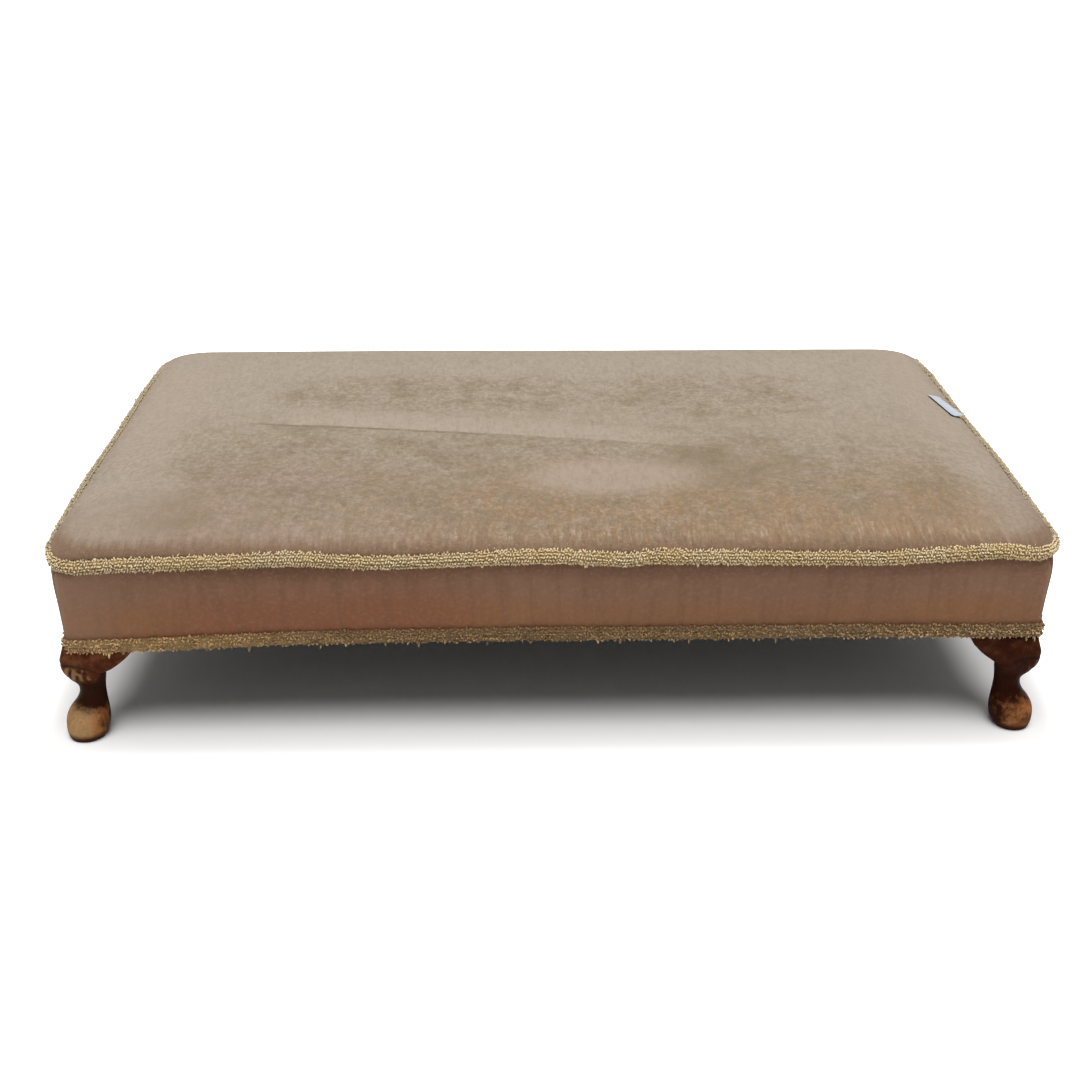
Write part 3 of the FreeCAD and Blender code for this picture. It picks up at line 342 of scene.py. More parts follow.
def loose(name, light, dark, strand, depth):
    """Tangled strands of that width."""
    paint = Paint(name, 0.95, Specular_IOR_Level=0.15)
    first = paint.noise(0.2 / strand, 5.0, 0.65, None, 2.0)
    second = paint.noise(0.33 / strand, 4.0, 0.6, paint.stretched(1, 0.3, 1, 0.8), 1.5)
    tangle = paint.times(first, second)
    paint.colour = paint.mix(paint.ramp(tangle, 0.12, 0.36), dark, light)
    return paint.finish((tangle, depth))


coir = loose("coir_fibre", (0.4, 0.27, 0.15), (0.12, 0.07, 0.04), 0.0006, 0.004)
hair = loose("curled_hair", (0.2, 0.16, 0.13), (0.03, 0.025, 0.02), 0.0004, 0.004)
calico = woven("calico", (0.8, 0.75, 0.65), (0.62, 0.56, 0.46), 0.0005, 0.0001)
cotton = loose("cotton_wadding", (0.87, 0.85, 0.8), (0.7, 0.67, 0.6), 0.001, 0.002)
dress(["edge_roll", "first_stuffing"], coir)
dress(["top_stuffing"], hair)
dress(["calico_cover"], calico)
dress(["wadding", "side_wadding"], cotton)

# Velvet top cover
# One piece of faded velvet drawn over the stuffing and pulled down to the seam all round. Its
# pile is worn and rubbed olive in the middle, and a long soft crease runs across it.
TOP_HALF_LENGTH = 0.4869
TOP_HALF_DEPTH = 0.2869
SEAM_HEIGHT = 0.199
VELVET_THICKNESS = 0.0015
# Height, run inwards from the seam and corner radius of the rings from the seam to the crown.
CROWN_ROWS = (
    (0.1990, 0.0000, 0.0360), (0.2043, -0.0045, 0.0380), (0.2091, -0.0041, 0.0398),
    (0.2127, -0.0001, 0.0422), (0.2161, 0.0076, 0.0455), (0.2194, 0.0193, 0.0505),
    (0.2225, 0.0373, 0.0560), (0.2248, 0.0661, 0.0600), (0.2262, 0.1075, 0.0640),
    (0.2270, 0.1669, 0.0680),
)
CROWN_STEPS = 3
CORE_STEPS_LONG = 98
CORE_STEPS_ACROSS = 46
# The edge of the cover follows the seam's stray up to this height over it.
STRAY_RISE = 0.016
# How far the ends are drawn in over the cord, as a share of the half length, and over what height.
END_DRAW_SHARE = 0.0092
END_DRAW_RISE = 0.006
END_DRAW_BLEND = 0.35
# The cloth is held up to one height over the seam, and swells fully from another.
CLOTH_FRAMES = 20
HELD_RISE = 0.010
SWELL_RISE = 0.012
SWELL_LIMIT = 0.0045
# Towards the ends the cloth is drawn so tight that most of the swell goes.
END_TIGHT_FROM = 0.42
END_TIGHT_RUN = 0.05
END_TIGHT_SHARE = 0.8
# Lumps in the stuffing: half their height, their size and their seed.
LUMPS = ((0.0008, 0.16, 3.1), (0.0003, 0.045, 7.7))
# The crease is a curve across the top, sharp at its left and softer to the right, with a low
# ridge behind it.
CREASE_CURVE = (-0.0586, -0.1867, -0.1342)
CREASE_DEPTH = 0.0022
CREASE_HALF_WIDTH = 0.007
CREASE_MIDDLE = -0.06
CREASE_HALF_RUN = 0.30
CREASE_FADE = 0.06
CREASE_SOFT_FROM = -0.14
CREASE_SOFT_RUN = 0.22
CREASE_SOFT_SHARE = 0.9
RIDGE_HEIGHT = 0.0012
RIDGE_BEHIND = 0.022
RIDGE_HALF_WIDTH = 0.016
# Each side's turn about Z, in quarters.
SIDES = {"front": 0, "right": 1, "back": 2, "left": 3}
# Places along each side and how far the cord's seam strays up or down there.
CORD_STRAY = {
    "front": (
        (-0.481, -0.0047), (-0.435, -0.0005), (-0.252, 0.0053), (-0.174, 0.0007), (-0.102, 0.0031),
        (-0.054, 0.0051), (0.003, 0.0057), (0.065, 0.0016), (0.089, 0.0052), (0.137, 0.0040),
        (0.311, 0.0015), (0.426, 0.0079), (0.466, 0.0034), (0.481, 0.0015),
    ),
    "right": (
        (-0.281, 0.0015), (-0.2, 0.0035), (-0.08, 0.0065), (0.06, 0.0045), (0.19, 0.0065), (0.281, 0.001),
    ),
    "back": (
        (-0.481, 0.001), (-0.3, 0.004), (-0.1, 0.0), (0.08, 0.003), (0.25, -0.001), (0.4, 0.003),
        (0.481, 0.001),
    ),
    "left": (
        (-0.281, -0.0047), (-0.22, 0.0025), (-0.12, 0.0065), (0.0, 0.0045), (0.15, 0.0065), (0.281, 0.001),
    ),
}
STRAY_STEP = 0.002
STRAY_SMOOTH = 12


def smooth_rows(rows, steps):
    """Rows of numbers with more rows between them, on one smooth curve through them all."""
    rows = np.array(rows, float)
    ends = np.vstack([2 * rows[0] - rows[1], rows, 2 * rows[-1] - rows[-2]])
    found = []
    for number in range(len(rows) - 1):
        before, start, end, after = ends[number:number + 4]
        for step in range(steps):
            t = step / steps
            square = 2 * before - 5 * start + 4 * end - after
            cube = 3 * start - before - 3 * end + after
            found.append(start + ((end - before) * t + square * t**2 + cube * t**3) / 2)
    found.append(rows[-1])
    return np.array(found)


def along_side(share, half_run, half_across, radius):
    """A point of the front side of a rounded rectangle, and its outward direction.

    The side goes from the middle of the left corner's arc, at share 0, to the right one's, at 1."""
    quarter = radius * math.pi / 4
    straight = 2 * (half_run - radius)
    gone = share * (straight + 2 * quarter)
    if quarter <= gone <= quarter + straight:
        return np.array((gone - quarter - half_run + radius, -half_across)), np.array((0.0, -1.0))
    right = gone > quarter
    rest = straight + 2 * quarter - gone if right else gone
    angle = math.pi / 4 + rest / radius
    side = 1 if right else -1
    outward = np.array((side * math.cos(angle), -math.sin(angle)))
    centre = np.array((side * (half_run - radius), radius - half_across))
    return centre + radius * outward, outward


def turned(point, quarters):
    """A point or direction turned about Z by quarter turns."""
    x, y = point
    for _ in range(quarters % 4):
        x, y = -y, x
    return np.array((x, y))


def rim_point(side, share, half_length, half_depth, radius):
    """A point on any side of a rounded rectangle, and its outward direction."""
    quarters = SIDES[side]
    halves = (half_length, half_depth) if quarters % 2 == 0 else (half_depth, half_length)
    point, outward = along_side(share, *halves, radius)
    return turned(point, quarters), turned(outward, quarters)


def smooth_line(knots):
    """Evenly spaced places and their heights, from a few, with the corners rounded off."""
    places = np.arange(knots[0][0], knots[-1][0], STRAY_STEP)
    heights = np.interp(places, *zip(*knots))
    weights = np.hanning(STRAY_SMOOTH)
    padded = np.pad(heights, STRAY_SMOOTH, mode="edge")
    rounded = np.convolve(padded, weights / weights.sum(), "same")[STRAY_SMOOTH:-STRAY_SMOOTH]
    return places, rounded


cord_lines = {side: smooth_line(knots) for side, knots in CORD_STRAY.items()}


def stray_at(lines, side, share):
    """How far a seam strays up at a share of a side, walked round from the front left.

    The back and left sides are walked from +X to -X and from +Y to -Y."""
    places, heights = lines[side]
    if side in ("back", "left"):
        share = 1 - share
    return float(np.interp(places[0] + share * (places[-1] - places[0]), places, heights))


def rim_label(u, v):
    """The side and the share along it for a point on the edge of a square from -1 to 1."""
    if v <= -abs(u):
        return "front", (u + 1) / 2
    if u >= abs(v):
        return "right", (v + 1) / 2
    if v >= abs(u):
        return "back", (1 - u) / 2
    return "left", (1 - v) / 2


def crease_line(x):
    """Where the long crease lies across the top."""
    start, slope, bend = CREASE_CURVE
    return start + slope * x + bend * x**2


def ring_place(u, v, row):
    """A point of a ring of the cover, for a point on the edge of a square from -1 to 1."""
    height, inward, radius = row
    side, share = rim_label(u, v)
    point, _ = rim_point(side, share, TOP_HALF_LENGTH - inward, TOP_HALF_DEPTH - inward, radius)
    low_share = max(0.0, 1 - (height - SEAM_HEIGHT) / STRAY_RISE)
    if side in ("left", "right"):
        high_share = min(1.0, (height - SEAM_HEIGHT) / END_DRAW_RISE)
        drawn = END_DRAW_SHARE * high_share * max(0.0, math.sin(math.pi * share)) ** END_DRAW_BLEND
        point = np.array((point[0] * (1 - drawn), point[1]))
    return Vector((*point, height + stray_at(cord_lines, side, share) * low_share))


def crown_sheet():
    """The sheet of the top: a grid on the crown and rings of quads from it down to the seam."""
    rows = smooth_rows(CROWN_ROWS, CROWN_STEPS)[::-1]
    sheet = bmesh.new()
    bmesh.ops.create_grid(sheet, x_segments=CORE_STEPS_LONG, y_segments=CORE_STEPS_ACROSS, size=1)
    across = sheet.verts.layers.float.new("u")
    upward = sheet.verts.layers.float.new("v")
    for vertex in sheet.verts:
        u, v = vertex.co.x, vertex.co.y
        vertex[across], vertex[upward] = u, v
        reach = max(abs(u), abs(v))
        flat = Vector((u * (TOP_HALF_LENGTH - rows[0][1]), v * (TOP_HALF_DEPTH - rows[0][1]), rows[0][0]))
        if reach:
            rim = ring_place(u / reach, v / reach, rows[0])
            flat = flat.lerp(Vector((rim.x * reach, rim.y * reach, rim.z)), reach**6)
        vertex.co = flat
    edges = [edge for edge in sheet.edges if edge.is_boundary]
    for row in rows[1:]:
        made = bmesh.ops.extrude_edge_only(sheet, edges=edges)["geom"]
        for item in made:
            if isinstance(item, bmesh.types.BMVert):
                reach = max(abs(item[across]), abs(item[upward]))
                item.co = ring_place(item[across] / reach, item[upward] / reach, row)
        edges = [item for item in made if isinstance(item, bmesh.types.BMEdge)]
        edges = [edge for edge in edges if edge.is_boundary]
    return mesh_from(sheet, "top_cover")


def points_of(mesh):
    found = np.empty(len(mesh.vertices) * 3)
    mesh.vertices.foreach_get("co", found)
    return found.reshape(-1, 3)


def normals_of(mesh):
    found = np.empty(len(mesh.vertices) * 3, np.float32)
    mesh.vertex_normals.foreach_get("vector", found)
    return found.reshape(-1, 3).astype(float)


def move_points(mesh, points):
    mesh.vertices.foreach_set("co", np.ascontiguousarray(points, dtype=float).ravel())
    mesh.update()


def swollen(piece, pinned):
    """The piece's points after a cloth is blown up softly with its pinned points held."""
    group = piece.vertex_groups.new(name="held")
    for number, weight in enumerate(pinned):
        if weight > 0:
            group.add([number], float(weight), "REPLACE")
    cloth = piece.modifiers.new("cloth", "CLOTH")
    cloth.settings.quality = 4
    cloth.settings.mass = 0.4
    cloth.settings.tension_stiffness = 12
    cloth.settings.compression_stiffness = 12
    cloth.settings.bending_stiffness = 1.5
    cloth.settings.vertex_group_mass = "held"
    cloth.settings.use_pressure = True
    cloth.settings.uniform_pressure_force = 4
    cloth.settings.effector_weights.gravity = 0
    cloth.collision_settings.use_collision = False
    for number in range(1, CLOTH_FRAMES + 1):
        bpy.context.scene.frame_set(number)
    solved = piece.evaluated_get(bpy.context.evaluated_depsgraph_get()).to_mesh()
    points = points_of(solved)
    piece.evaluated_get(bpy.context.evaluated_depsgraph_get()).to_mesh_clear()
    piece.modifiers.remove(cloth)
    piece.vertex_groups.clear()
    bpy.context.scene.frame_set(1)
    return points


def applied(piece, kind, **settings):
    """Adds a modifier to a piece and makes it part of its mesh."""
    added = piece.modifiers.new(kind.lower(), kind)
    for setting, value in settings.items():
        setattr(added, setting, value)
    mesh = bpy.data.meshes.new_from_object(piece.evaluated_get(bpy.context.evaluated_depsgraph_get()))
    mesh.name = piece.name
    piece.modifiers.clear()
    piece.data = mesh
    mesh.shade_smooth()


def uneven(points, scale, seed):
    """Soft noise from -1 to 1 at each point, with lumps of that size in metres."""
    shift = Vector((seed, -seed, 2 * seed))
    return np.array([noise.noise(Vector(point) / scale + shift) for point in points])


# Tones of the faded velvet, from the ground to its marks and specks, with the shade painted in the crease
# and on the roll down to the cord.
velvet = SimpleNamespace(
    beige=(0.445, 0.375, 0.295), taupe=(0.415, 0.335, 0.255), rose_brown=(0.375, 0.27, 0.205),
    tawny=(0.35, 0.222, 0.122), mauve_grey=(0.31, 0.24, 0.175), olive=(0.32, 0.25, 0.145),
    shadow=(0.285, 0.218, 0.142), rosy=(0.45, 0.355, 0.29), smudge=(0.24, 0.182, 0.108),
    pink=(0.455, 0.37, 0.295), grey_pink=(0.435, 0.37, 0.3), dusky_pink=(0.35, 0.26, 0.195),
    pale_band=(0.47, 0.382, 0.302), pale_patch=(0.475, 0.37, 0.292), crease_shade=(0.205, 0.153, 0.095),
    shade_before_crease=(0.29, 0.225, 0.145), tuft=(0.5, 0.365, 0.275), between_tufts=(0.26, 0.165, 0.095),
    seam=(0.215, 0.125, 0.072), mark=(0.16, 0.115, 0.07), dark_speck=(0.27, 0.205, 0.14),
    light_speck=(0.58, 0.48, 0.38), streak=(0.26, 0.2, 0.135), pile_tip=(0.6, 0.49, 0.38),
)


def velvet_top():
    """Faded velvet: pinkish where the pile stands, olive where it is worn, with shade painted in the crease
    and where the front rolls down to the cord.
    """
    paint = Paint(
        "faded_velvet", 0.92, Specular_IOR_Level=0.12, Sheen_Weight=0.25, Sheen_Roughness=0.45,
        Sheen_Tint=(0.9, 0.76, 0.62, 1),
    )
    x, y, z = paint.split["X"], paint.split["Y"], paint.split["Z"]
    drift = paint.noise(11.0, 5.0, 0.6)
    broad = paint.noise(3.2, 3.0)

    def patch(centre_x, centre_y, half_x, half_y):
        """A share of 1 inside a rough oval, which fades out round it."""
        squares = (
            paint.maths("POWER", paint.maths("DIVIDE", paint.less(value, centre), half), 2.0)
            for value, centre, half in ((x, centre_x, half_x), (y, centre_y, half_y))
        )
        rough = paint.plus(paint.maths("SQRT", paint.plus(*squares)), paint.times(drift, 1.1))
        return paint.ramp(rough, 2.0, 1.1)

    mottle = paint.noise(42.0, 7.0, 0.75)
    grit = paint.noise(260.0, 5.0, 0.7)
    speckle = paint.noise(150.0, 6.0, 0.8)
    spots = paint.noise(34.0, 9.0, 0.8)
    streaks = paint.noise(1.0, 4.0, 0.6, paint.stretched(240, 55, 55))
    tufts = paint.noise(1.0, 6.0, 0.72, paint.stretched(230, 38, 38))
    cloud = paint.noise(24.0, 10.0, 0.82)
    pile = paint.noise(1100.0, 3.0, 0.7)

    # From grey beige at the back to tawny at the front.
    forward = paint.stray(y, drift, 0.2)
    paint.colour = paint.mix(paint.ramp(forward, 0.12, -0.14), velvet.beige, velvet.taupe)
    tawny = paint.mix(paint.ramp(x, -0.22, -0.02), velvet.rose_brown, velvet.tawny)
    paint.lay(paint.ramp(forward, -0.1, -0.23), tawny)

    # Where the pile is rubbed, it lies in mauve grey and olive flecks.
    worn = paint.most(
        patch(0.05, -0.17, 0.42, 0.13), patch(-0.2, -0.12, 0.24, 0.12), patch(-0.13, 0.08, 0.2, 0.06),
        patch(0.18, 0.06, 0.15, 0.07),
    )
    olive = paint.mix(paint.ramp(mottle, 0.42, 0.6), velvet.mauve_grey, velvet.olive)
    flecks = paint.times(worn, paint.ramp(grit, 0.42, 0.58, 0.15, 0.85))
    paint.lay(paint.times(flecks, paint.ramp(cloud, 0.38, 0.56)), olive)
    shadowed = paint.times(paint.scaled(worn, 0.75, 0.2), paint.ramp(cloud, 0.49, 0.61))
    paint.lay(shadowed, velvet.shadow)
    rosy = paint.times(paint.scaled(worn, 0.35, 0.15), paint.ramp(mottle, 0.49, 0.34))
    paint.lay(rosy, velvet.rosy)

    smudge = paint.times(paint.scaled(worn, 0.75, 0.12), paint.ramp(spots, 0.52, 0.66))
    cluster = paint.most(patch(0.175, -0.135, 0.085, 0.05), patch(-0.41, -0.235, 0.06, 0.035))
    smudge = paint.most(smudge, paint.times(cluster, paint.ramp(cloud, 0.38, 0.54, 0.25, 1.0)))
    specked = paint.times(paint.ramp(speckle, 0.38, 0.58, 0.1, 1.0), paint.ramp(grit, 0.38, 0.6, 0.5, 1.0))
    paint.lay(paint.times(smudge, specked), velvet.smudge)

    # The ends stay smooth and pinker.
    ends = paint.most(paint.ramp(x, -0.35, -0.44), paint.ramp(x, 0.38, 0.46))
    pink = paint.mix(paint.ramp(broad, 0.4, 0.65), velvet.pink, velvet.grey_pink)
    pink = paint.mix(paint.ramp(forward, -0.17, -0.25, 0.0, 0.45), pink, velvet.dusky_pink)
    paint.lay(paint.times(ends, 0.8), pink)

    # A pale smooth band lies behind the crease, and a pale patch before it.
    start, slope, bend = CREASE_CURVE
    crease_y = paint.scaled(paint.scaled(x, bend, slope), x, start)
    past = paint.stray(paint.less(y, crease_y), mottle, 0.008)
    band = paint.times(
        paint.ramp(past, -0.001, 0.004), paint.ramp(past, 0.055, 0.03), paint.ramp(x, -0.32, -0.24),
        paint.ramp(x, 0.24, 0.03),
    )
    paint.lay(paint.times(band, 0.9), velvet.pale_band)
    pale = patch(0.065, -0.165, 0.085, 0.042)
    paint.lay(paint.times(pale, 0.8), velvet.pale_patch)
    # Shade is painted as a dark line in the crease, darkest along its sharp left part.
    crease_shade_line = paint.times(
        paint.ramp(past, -0.007, -0.001), paint.ramp(past, 0.003, 0.0), paint.ramp(x, -0.345, -0.315),
        paint.ramp(x, -0.02, -0.16, 0.25, 1.0), paint.ramp(mottle, 0.35, 0.6, 0.3, 0.9),
    )
    paint.lay(crease_shade_line, velvet.crease_shade)
    # Shade is painted in a darker band just before the crease, near its left end.
    under = paint.times(
        paint.ramp(past, -0.03, -0.004), paint.ramp(past, 0.002, -0.002), paint.ramp(x, -0.33, -0.3),
        paint.ramp(x, -0.2, -0.26), paint.ramp(cloud, 0.4, 0.6, 0.2, 0.7),
    )
    paint.lay(under, velvet.shade_before_crease)

    # Pinkish tufts stand here and there along the front edge. Where the cover rolls down to the cord, shade
    # is painted as a dark brown line, strongest at the front.
    near = paint.times(
        paint.ramp(paint.stray(y, cloud, 0.1), -0.22, -0.265), paint.ramp(x, -0.36, -0.08, 0.15, 1.0),
        paint.ramp(x, 0.46, 0.38, 0.2, 1.0),
    )
    bright = paint.times(near, paint.ramp(tufts, 0.5, 0.66, 0.0, 0.9), paint.ramp(mottle, 0.4, 0.56))
    paint.lay(bright, velvet.tuft)
    paint.lay(paint.times(near, paint.ramp(tufts, 0.5, 0.36, 0.0, 0.6)), velvet.between_tufts)
    # Painted shade where the cover rolls down to the cord, strongest at the front.
    low = paint.ramp(paint.stray(z, tufts, 0.01), 0.2205, 0.2125)
    paint.lay(paint.times(low, paint.ramp(y, -0.2, -0.27, 0.2, 0.92)), velvet.seam)

    # A few small dark marks.
    marks = paint.times(paint.ramp(paint.cells(30.0), 0.07, 0.03), paint.ramp(cloud, 0.52, 0.6, 0.0, 0.8))
    paint.lay(marks, velvet.mark)

    # The worn pile shows as specks of many sizes, light and dark.
    smooth = paint.most(paint.times(pale, 0.8), paint.times(band, 0.6))
    rub = paint.times(paint.scaled(worn, 0.6, 0.4), paint.less(1.0, smooth))
    paint.lay(rub, paint.ramp(speckle, 0.36, 0.64, 0.78, 1.18), "MULTIPLY")
    paint.lay(paint.times(rub, paint.ramp(grit, 0.5, 0.37, 0.0, 0.6)), velvet.dark_speck)
    paint.lay(paint.times(rub, paint.ramp(grit, 0.56, 0.66, 0.0, 0.4)), velvet.light_speck)
    combed = paint.times(paint.ramp(streaks, 0.45, 0.7, 0.0, 0.3), paint.ramp(ends, 0.0, 1.0, 1.0, 0.3))
    paint.lay(combed, velvet.streak)
    paint.lay(paint.ramp(pile, 0.5, 0.75, 0.0, 0.25), velvet.pile_tip)
    return paint.finish((pile, 0.0007), (grit, 0.0009), (streaks, 0.0007))


top = new_piece("velvet_top_cover", crown_sheet(), velvet_top())
rest = points_of(top.data)
outward = normals_of(top.data)
if outward[np.argmax(rest[:, 2])][2] < 0:
    top.data.flip_normals()
    outward = -outward
over_seam = rest[:, 2] - SEAM_HEIGHT
held = np.where(over_seam < HELD_RISE, 1.0, 0.0)
lift = np.clip(((swollen(top, held) - rest) * outward).sum(1), 0.0004, SWELL_LIMIT)
lift *= np.clip(over_seam / SWELL_RISE, 0, 1)
lift *= 1 - END_TIGHT_SHARE * np.clip((np.abs(rest[:, 0]) - END_TIGHT_FROM) / END_TIGHT_RUN, 0, 1)
for half_height, size, seed in LUMPS:
    lift += half_height * (1 + uneven(rest, size, seed))
past = rest[:, 1] - crease_line(rest[:, 0])
reach = np.clip((CREASE_HALF_RUN - np.abs(rest[:, 0] - CREASE_MIDDLE)) / CREASE_FADE, 0, 1)
reach *= 1 - CREASE_SOFT_SHARE * np.clip((rest[:, 0] - CREASE_SOFT_FROM) / CREASE_SOFT_RUN, 0, 1)
lift -= CREASE_DEPTH * reach * np.exp(-(past / CREASE_HALF_WIDTH) ** 2)
lift += RIDGE_HEIGHT * reach * np.exp(-((past - RIDGE_BEHIND) / RIDGE_HALF_WIDTH) ** 2)
move_points(top.data, rest + outward * np.maximum(lift, 0.0002)[:, None])
applied(top, "SUBSURF", levels=1, render_levels=1)
applied(top, "SOLIDIFY", thickness=VELVET_THICKNESS, offset=-1, use_even_offset=True)
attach(top, "root")
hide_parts("top_cover")

# Velvet border
# Four strips of the same velvet, less faded, sewn at the corners and drawn down the sides from
# the seam under the cord to the lower edge of the rails. They hollow a little between.
# Height, run inwards from the widest half size and corner radius, from the foot to the seam.
BORDER_HALF_LENGTH = 0.4915
BORDER_HALF_DEPTH = 0.2915
BORDER_ROWS = (
    (0.1070, 0.0058, 0.0090), (0.1260, 0.0056, 0.0100), (0.1460, 0.0050, 0.0113),
    (0.1778, 0.0025, 0.0180), (0.1898, 0.0000, 0.0338), (0.1953, 0.0012, 0.0360),
    (0.1990, 0.0046, 0.0360),
)
BORDER_STEPS = 4
BORDER_COLUMN = 0.006
BORDER_WAVE = 0.0006
TRIM_STRAY = {
    "front": (
        (-0.485, -0.0078), (-0.450, -0.0076), (-0.392, -0.0055), (-0.253, 0.0005), (-0.055, 0.0025),
        (0.143, 0.0025), (0.322, 0.003), (0.442, 0.0012), (0.485, 0.002),
    ),
    "right": ((-0.285, 0.002), (-0.1, 0.0), (0.1, 0.0025), (0.285, 0.001)),
    "back": ((-0.485, 0.0), (-0.25, 0.002), (0.0, -0.001), (0.25, 0.002), (0.485, 0.001)),
    "left": ((-0.285, -0.0078), (-0.12, 0.001), (0.1, 0.0025), (0.285, 0.0)),
}
# Small pleats in the front strip: place along it, height, half width, half height and depth.
PLEATS = (
    (0.088, 0.190, 0.006, 0.016, 0.0016), (0.452, 0.176, 0.055, 0.003, 0.0012),
    (-0.30, 0.186, 0.05, 0.004, 0.0009), (-0.47, 0.160, 0.008, 0.03, 0.0010),
)
trim_lines = {side: smooth_line(knots) for side, knots in TRIM_STRAY.items()}


# Tones of the border's velvet, and of the shade painted under the cord.
strip_velvet = SimpleNamespace(
    mauve=(0.265, 0.144, 0.09), tawny=(0.27, 0.13, 0.062), russet=(0.268, 0.098, 0.045),
    brown=(0.215, 0.112, 0.068), streak=(0.175, 0.09, 0.053), faded=(0.285, 0.17, 0.118),
    shade_under_cord=(0.125, 0.064, 0.036), pile_tip=(0.34, 0.2, 0.132),
)


def border_velvet():
    """Rose brown velvet, with shade painted under the cord, rubbed in faint upright streaks."""
    paint = Paint(
        "border_velvet", 0.92, Specular_IOR_Level=0.1, Sheen_Weight=0.2, Sheen_Roughness=0.4,
        Sheen_Tint=(0.9, 0.66, 0.5, 1),
    )
    x, z = paint.split["X"], paint.split["Z"]
    upright = paint.noise(1.0, 4.0, 0.6, paint.stretched(70, 70, 7))
    broad = paint.noise(5.0, 3.0)
    pile = paint.noise(1100.0, 3.0, 0.7)
    grit = paint.noise(230.0, 4.0, 0.65)
    height = paint.stray(z, broad, 0.03)
    paint.colour = paint.mix(paint.ramp(height, 0.165, 0.135), strip_velvet.mauve, strip_velvet.tawny)
    red = paint.times(paint.ramp(x, -0.42, -0.3), paint.ramp(x, -0.02, -0.16))
    paint.lay(paint.times(red, paint.ramp(height, 0.175, 0.15, 0.25, 0.85)), strip_velvet.russet)
    paint.lay(paint.ramp(broad, 0.42, 0.64, 0.0, 0.35), strip_velvet.brown)
    paint.lay(paint.ramp(upright, 0.45, 0.68, 0.0, 0.4), strip_velvet.streak)
    paint.lay(paint.times(paint.ramp(x, -0.41, -0.47), 0.5), strip_velvet.faded)
    # Shade is painted in a dark band just under the cord.
    paint.lay(paint.ramp(height, 0.176, 0.194, 0.0, 0.6), strip_velvet.shade_under_cord)
    paint.lay(paint.ramp(grit, 0.45, 0.7, 0.0, 0.3), strip_velvet.pile_tip)
    return paint.finish((pile, 0.0006), (grit, 0.0009), (upright, 0.0012))


def border_sheet(side, columns):
    """One strip of the border, as a sheet with its right side outward."""
    rows = smooth_rows(BORDER_ROWS, BORDER_STEPS)
    sheet = bmesh.new()
    bmesh.ops.create_grid(sheet, x_segments=columns, y_segments=len(rows) - 1, size=1)
    for vertex in sheet.verts:
        share = (vertex.co.x + 1) / 2
        rise = (vertex.co.y + 1) / 2
        height, inward, radius = rows[round(rise * (len(rows) - 1))]
        halves = (BORDER_HALF_LENGTH - inward, BORDER_HALF_DEPTH - inward)
        point, outward = rim_point(side, share, *halves, radius)
        low_stray = max(0.0, stray_at(trim_lines, side, share))
        height += stray_at(cord_lines, side, share) * rise**2 + low_stray * (1 - rise) ** 2
        wave = noise.noise(Vector((point[0] * 9, point[1] * 9, height * 5))) + 1
        proud = BORDER_WAVE * wave * math.sin(math.pi * rise)
        if side == "front":
            for place, middle, half_wide, half_high, depth in PLEATS:
                far = ((point[0] - place) / half_wide) ** 2 + ((height - middle) / half_high) ** 2
                proud += depth * math.exp(-far)
        vertex.co = (*(point + outward * proud), height)
    return mesh_from(sheet, f"{side}_border")


def side_run(side, half_length, half_depth):
    """The length of a side of a rectangle."""
    return 2 * (half_length if SIDES[side] % 2 == 0 else half_depth)


border_material = border_velvet()
for side in SIDES:
    run = side_run(side, BORDER_HALF_LENGTH, BORDER_HALF_DEPTH)
    strip_mesh = border_sheet(side, round(run / BORDER_COLUMN))
    strip = new_piece(f"velvet_{side}_border", strip_mesh, border_material)
    middle = strip.data.polygons[len(strip.data.polygons) // 2]
    if middle.normal.xy.dot(middle.center.xy) < 0:
        strip.data.flip_normals()
    applied(strip, "SOLIDIFY", thickness=VELVET_THICKNESS, offset=-1, use_even_offset=True)
    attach(strip, "root")
    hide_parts(f"{side}_border")

# Cord round the top and trim round the foot
# Both are ruche: a woven heading from which a dense pile of small yarn loops stands. The cord is
# round and sits in the valley over the border's seam; the trim is flat and is pinned to the rails.
# The old gold yarn is frayed, and stray loops and ends hang from the lower edges.
CORD_CORE = 0.0056
CORD_CORE_FACETS = 10
TRIM_THICKNESS = 0.0018
TRIM_BACK = 0.0012
TRIM_LOW = 0.0008
TRIM_LOOPS_OUT = 0.0008
TRIM_FIRST_ROW = 0.0008
TRIM_ROW = 0.0029
TRIM_TOP = 0.0125
TRIM_SHOULDER = 0.0115
LOOP_THREAD = 0.00074
LOOP_WIDTH = 0.0009
LOOP_HEIGHT = 0.00155
LOOP_BENDS = 4
LOOP_STAGGER = 0.0014
LOOP_LEAN = math.radians(40)
END_LOOPS_SHARE = 0.65
# Each kind's node, half sizes, bend at the corners, height and step between columns of loops. Its
# rows are angles round the cord, or heights up the trim. The rest says how loosely its loops are
# scattered, how many are pulled long, how much painted shade darkens the low ones that face down, and how
# much darker all of them are.
RUCHES = {
    "cord": SimpleNamespace(
        node="top_cord", lines=cord_lines, half_length=0.4905, half_depth=0.2925, bend=0.0430,
        height=0.1995, column=0.0028, rows=[math.radians(-120 + 27 * number) for number in range(11)],
        scatter=0.00035, long_share=0.003, low_long_share=0.012, spread=0.13, underside_shade=0.42, dim=0.0,
    ),
    "trim": SimpleNamespace(
        node="lower_trim", lines=trim_lines, half_length=0.4853, half_depth=0.2868, bend=0.0065,
        height=0.1075, column=0.0025, rows=[TRIM_FIRST_ROW + TRIM_ROW * number for number in range(5)],
        scatter=0.0007, long_share=0.03, low_long_share=0.045, spread=0.2, underside_shade=0.2, dim=0.12,
    ),
}
random_numbers = np.random.default_rng(20)


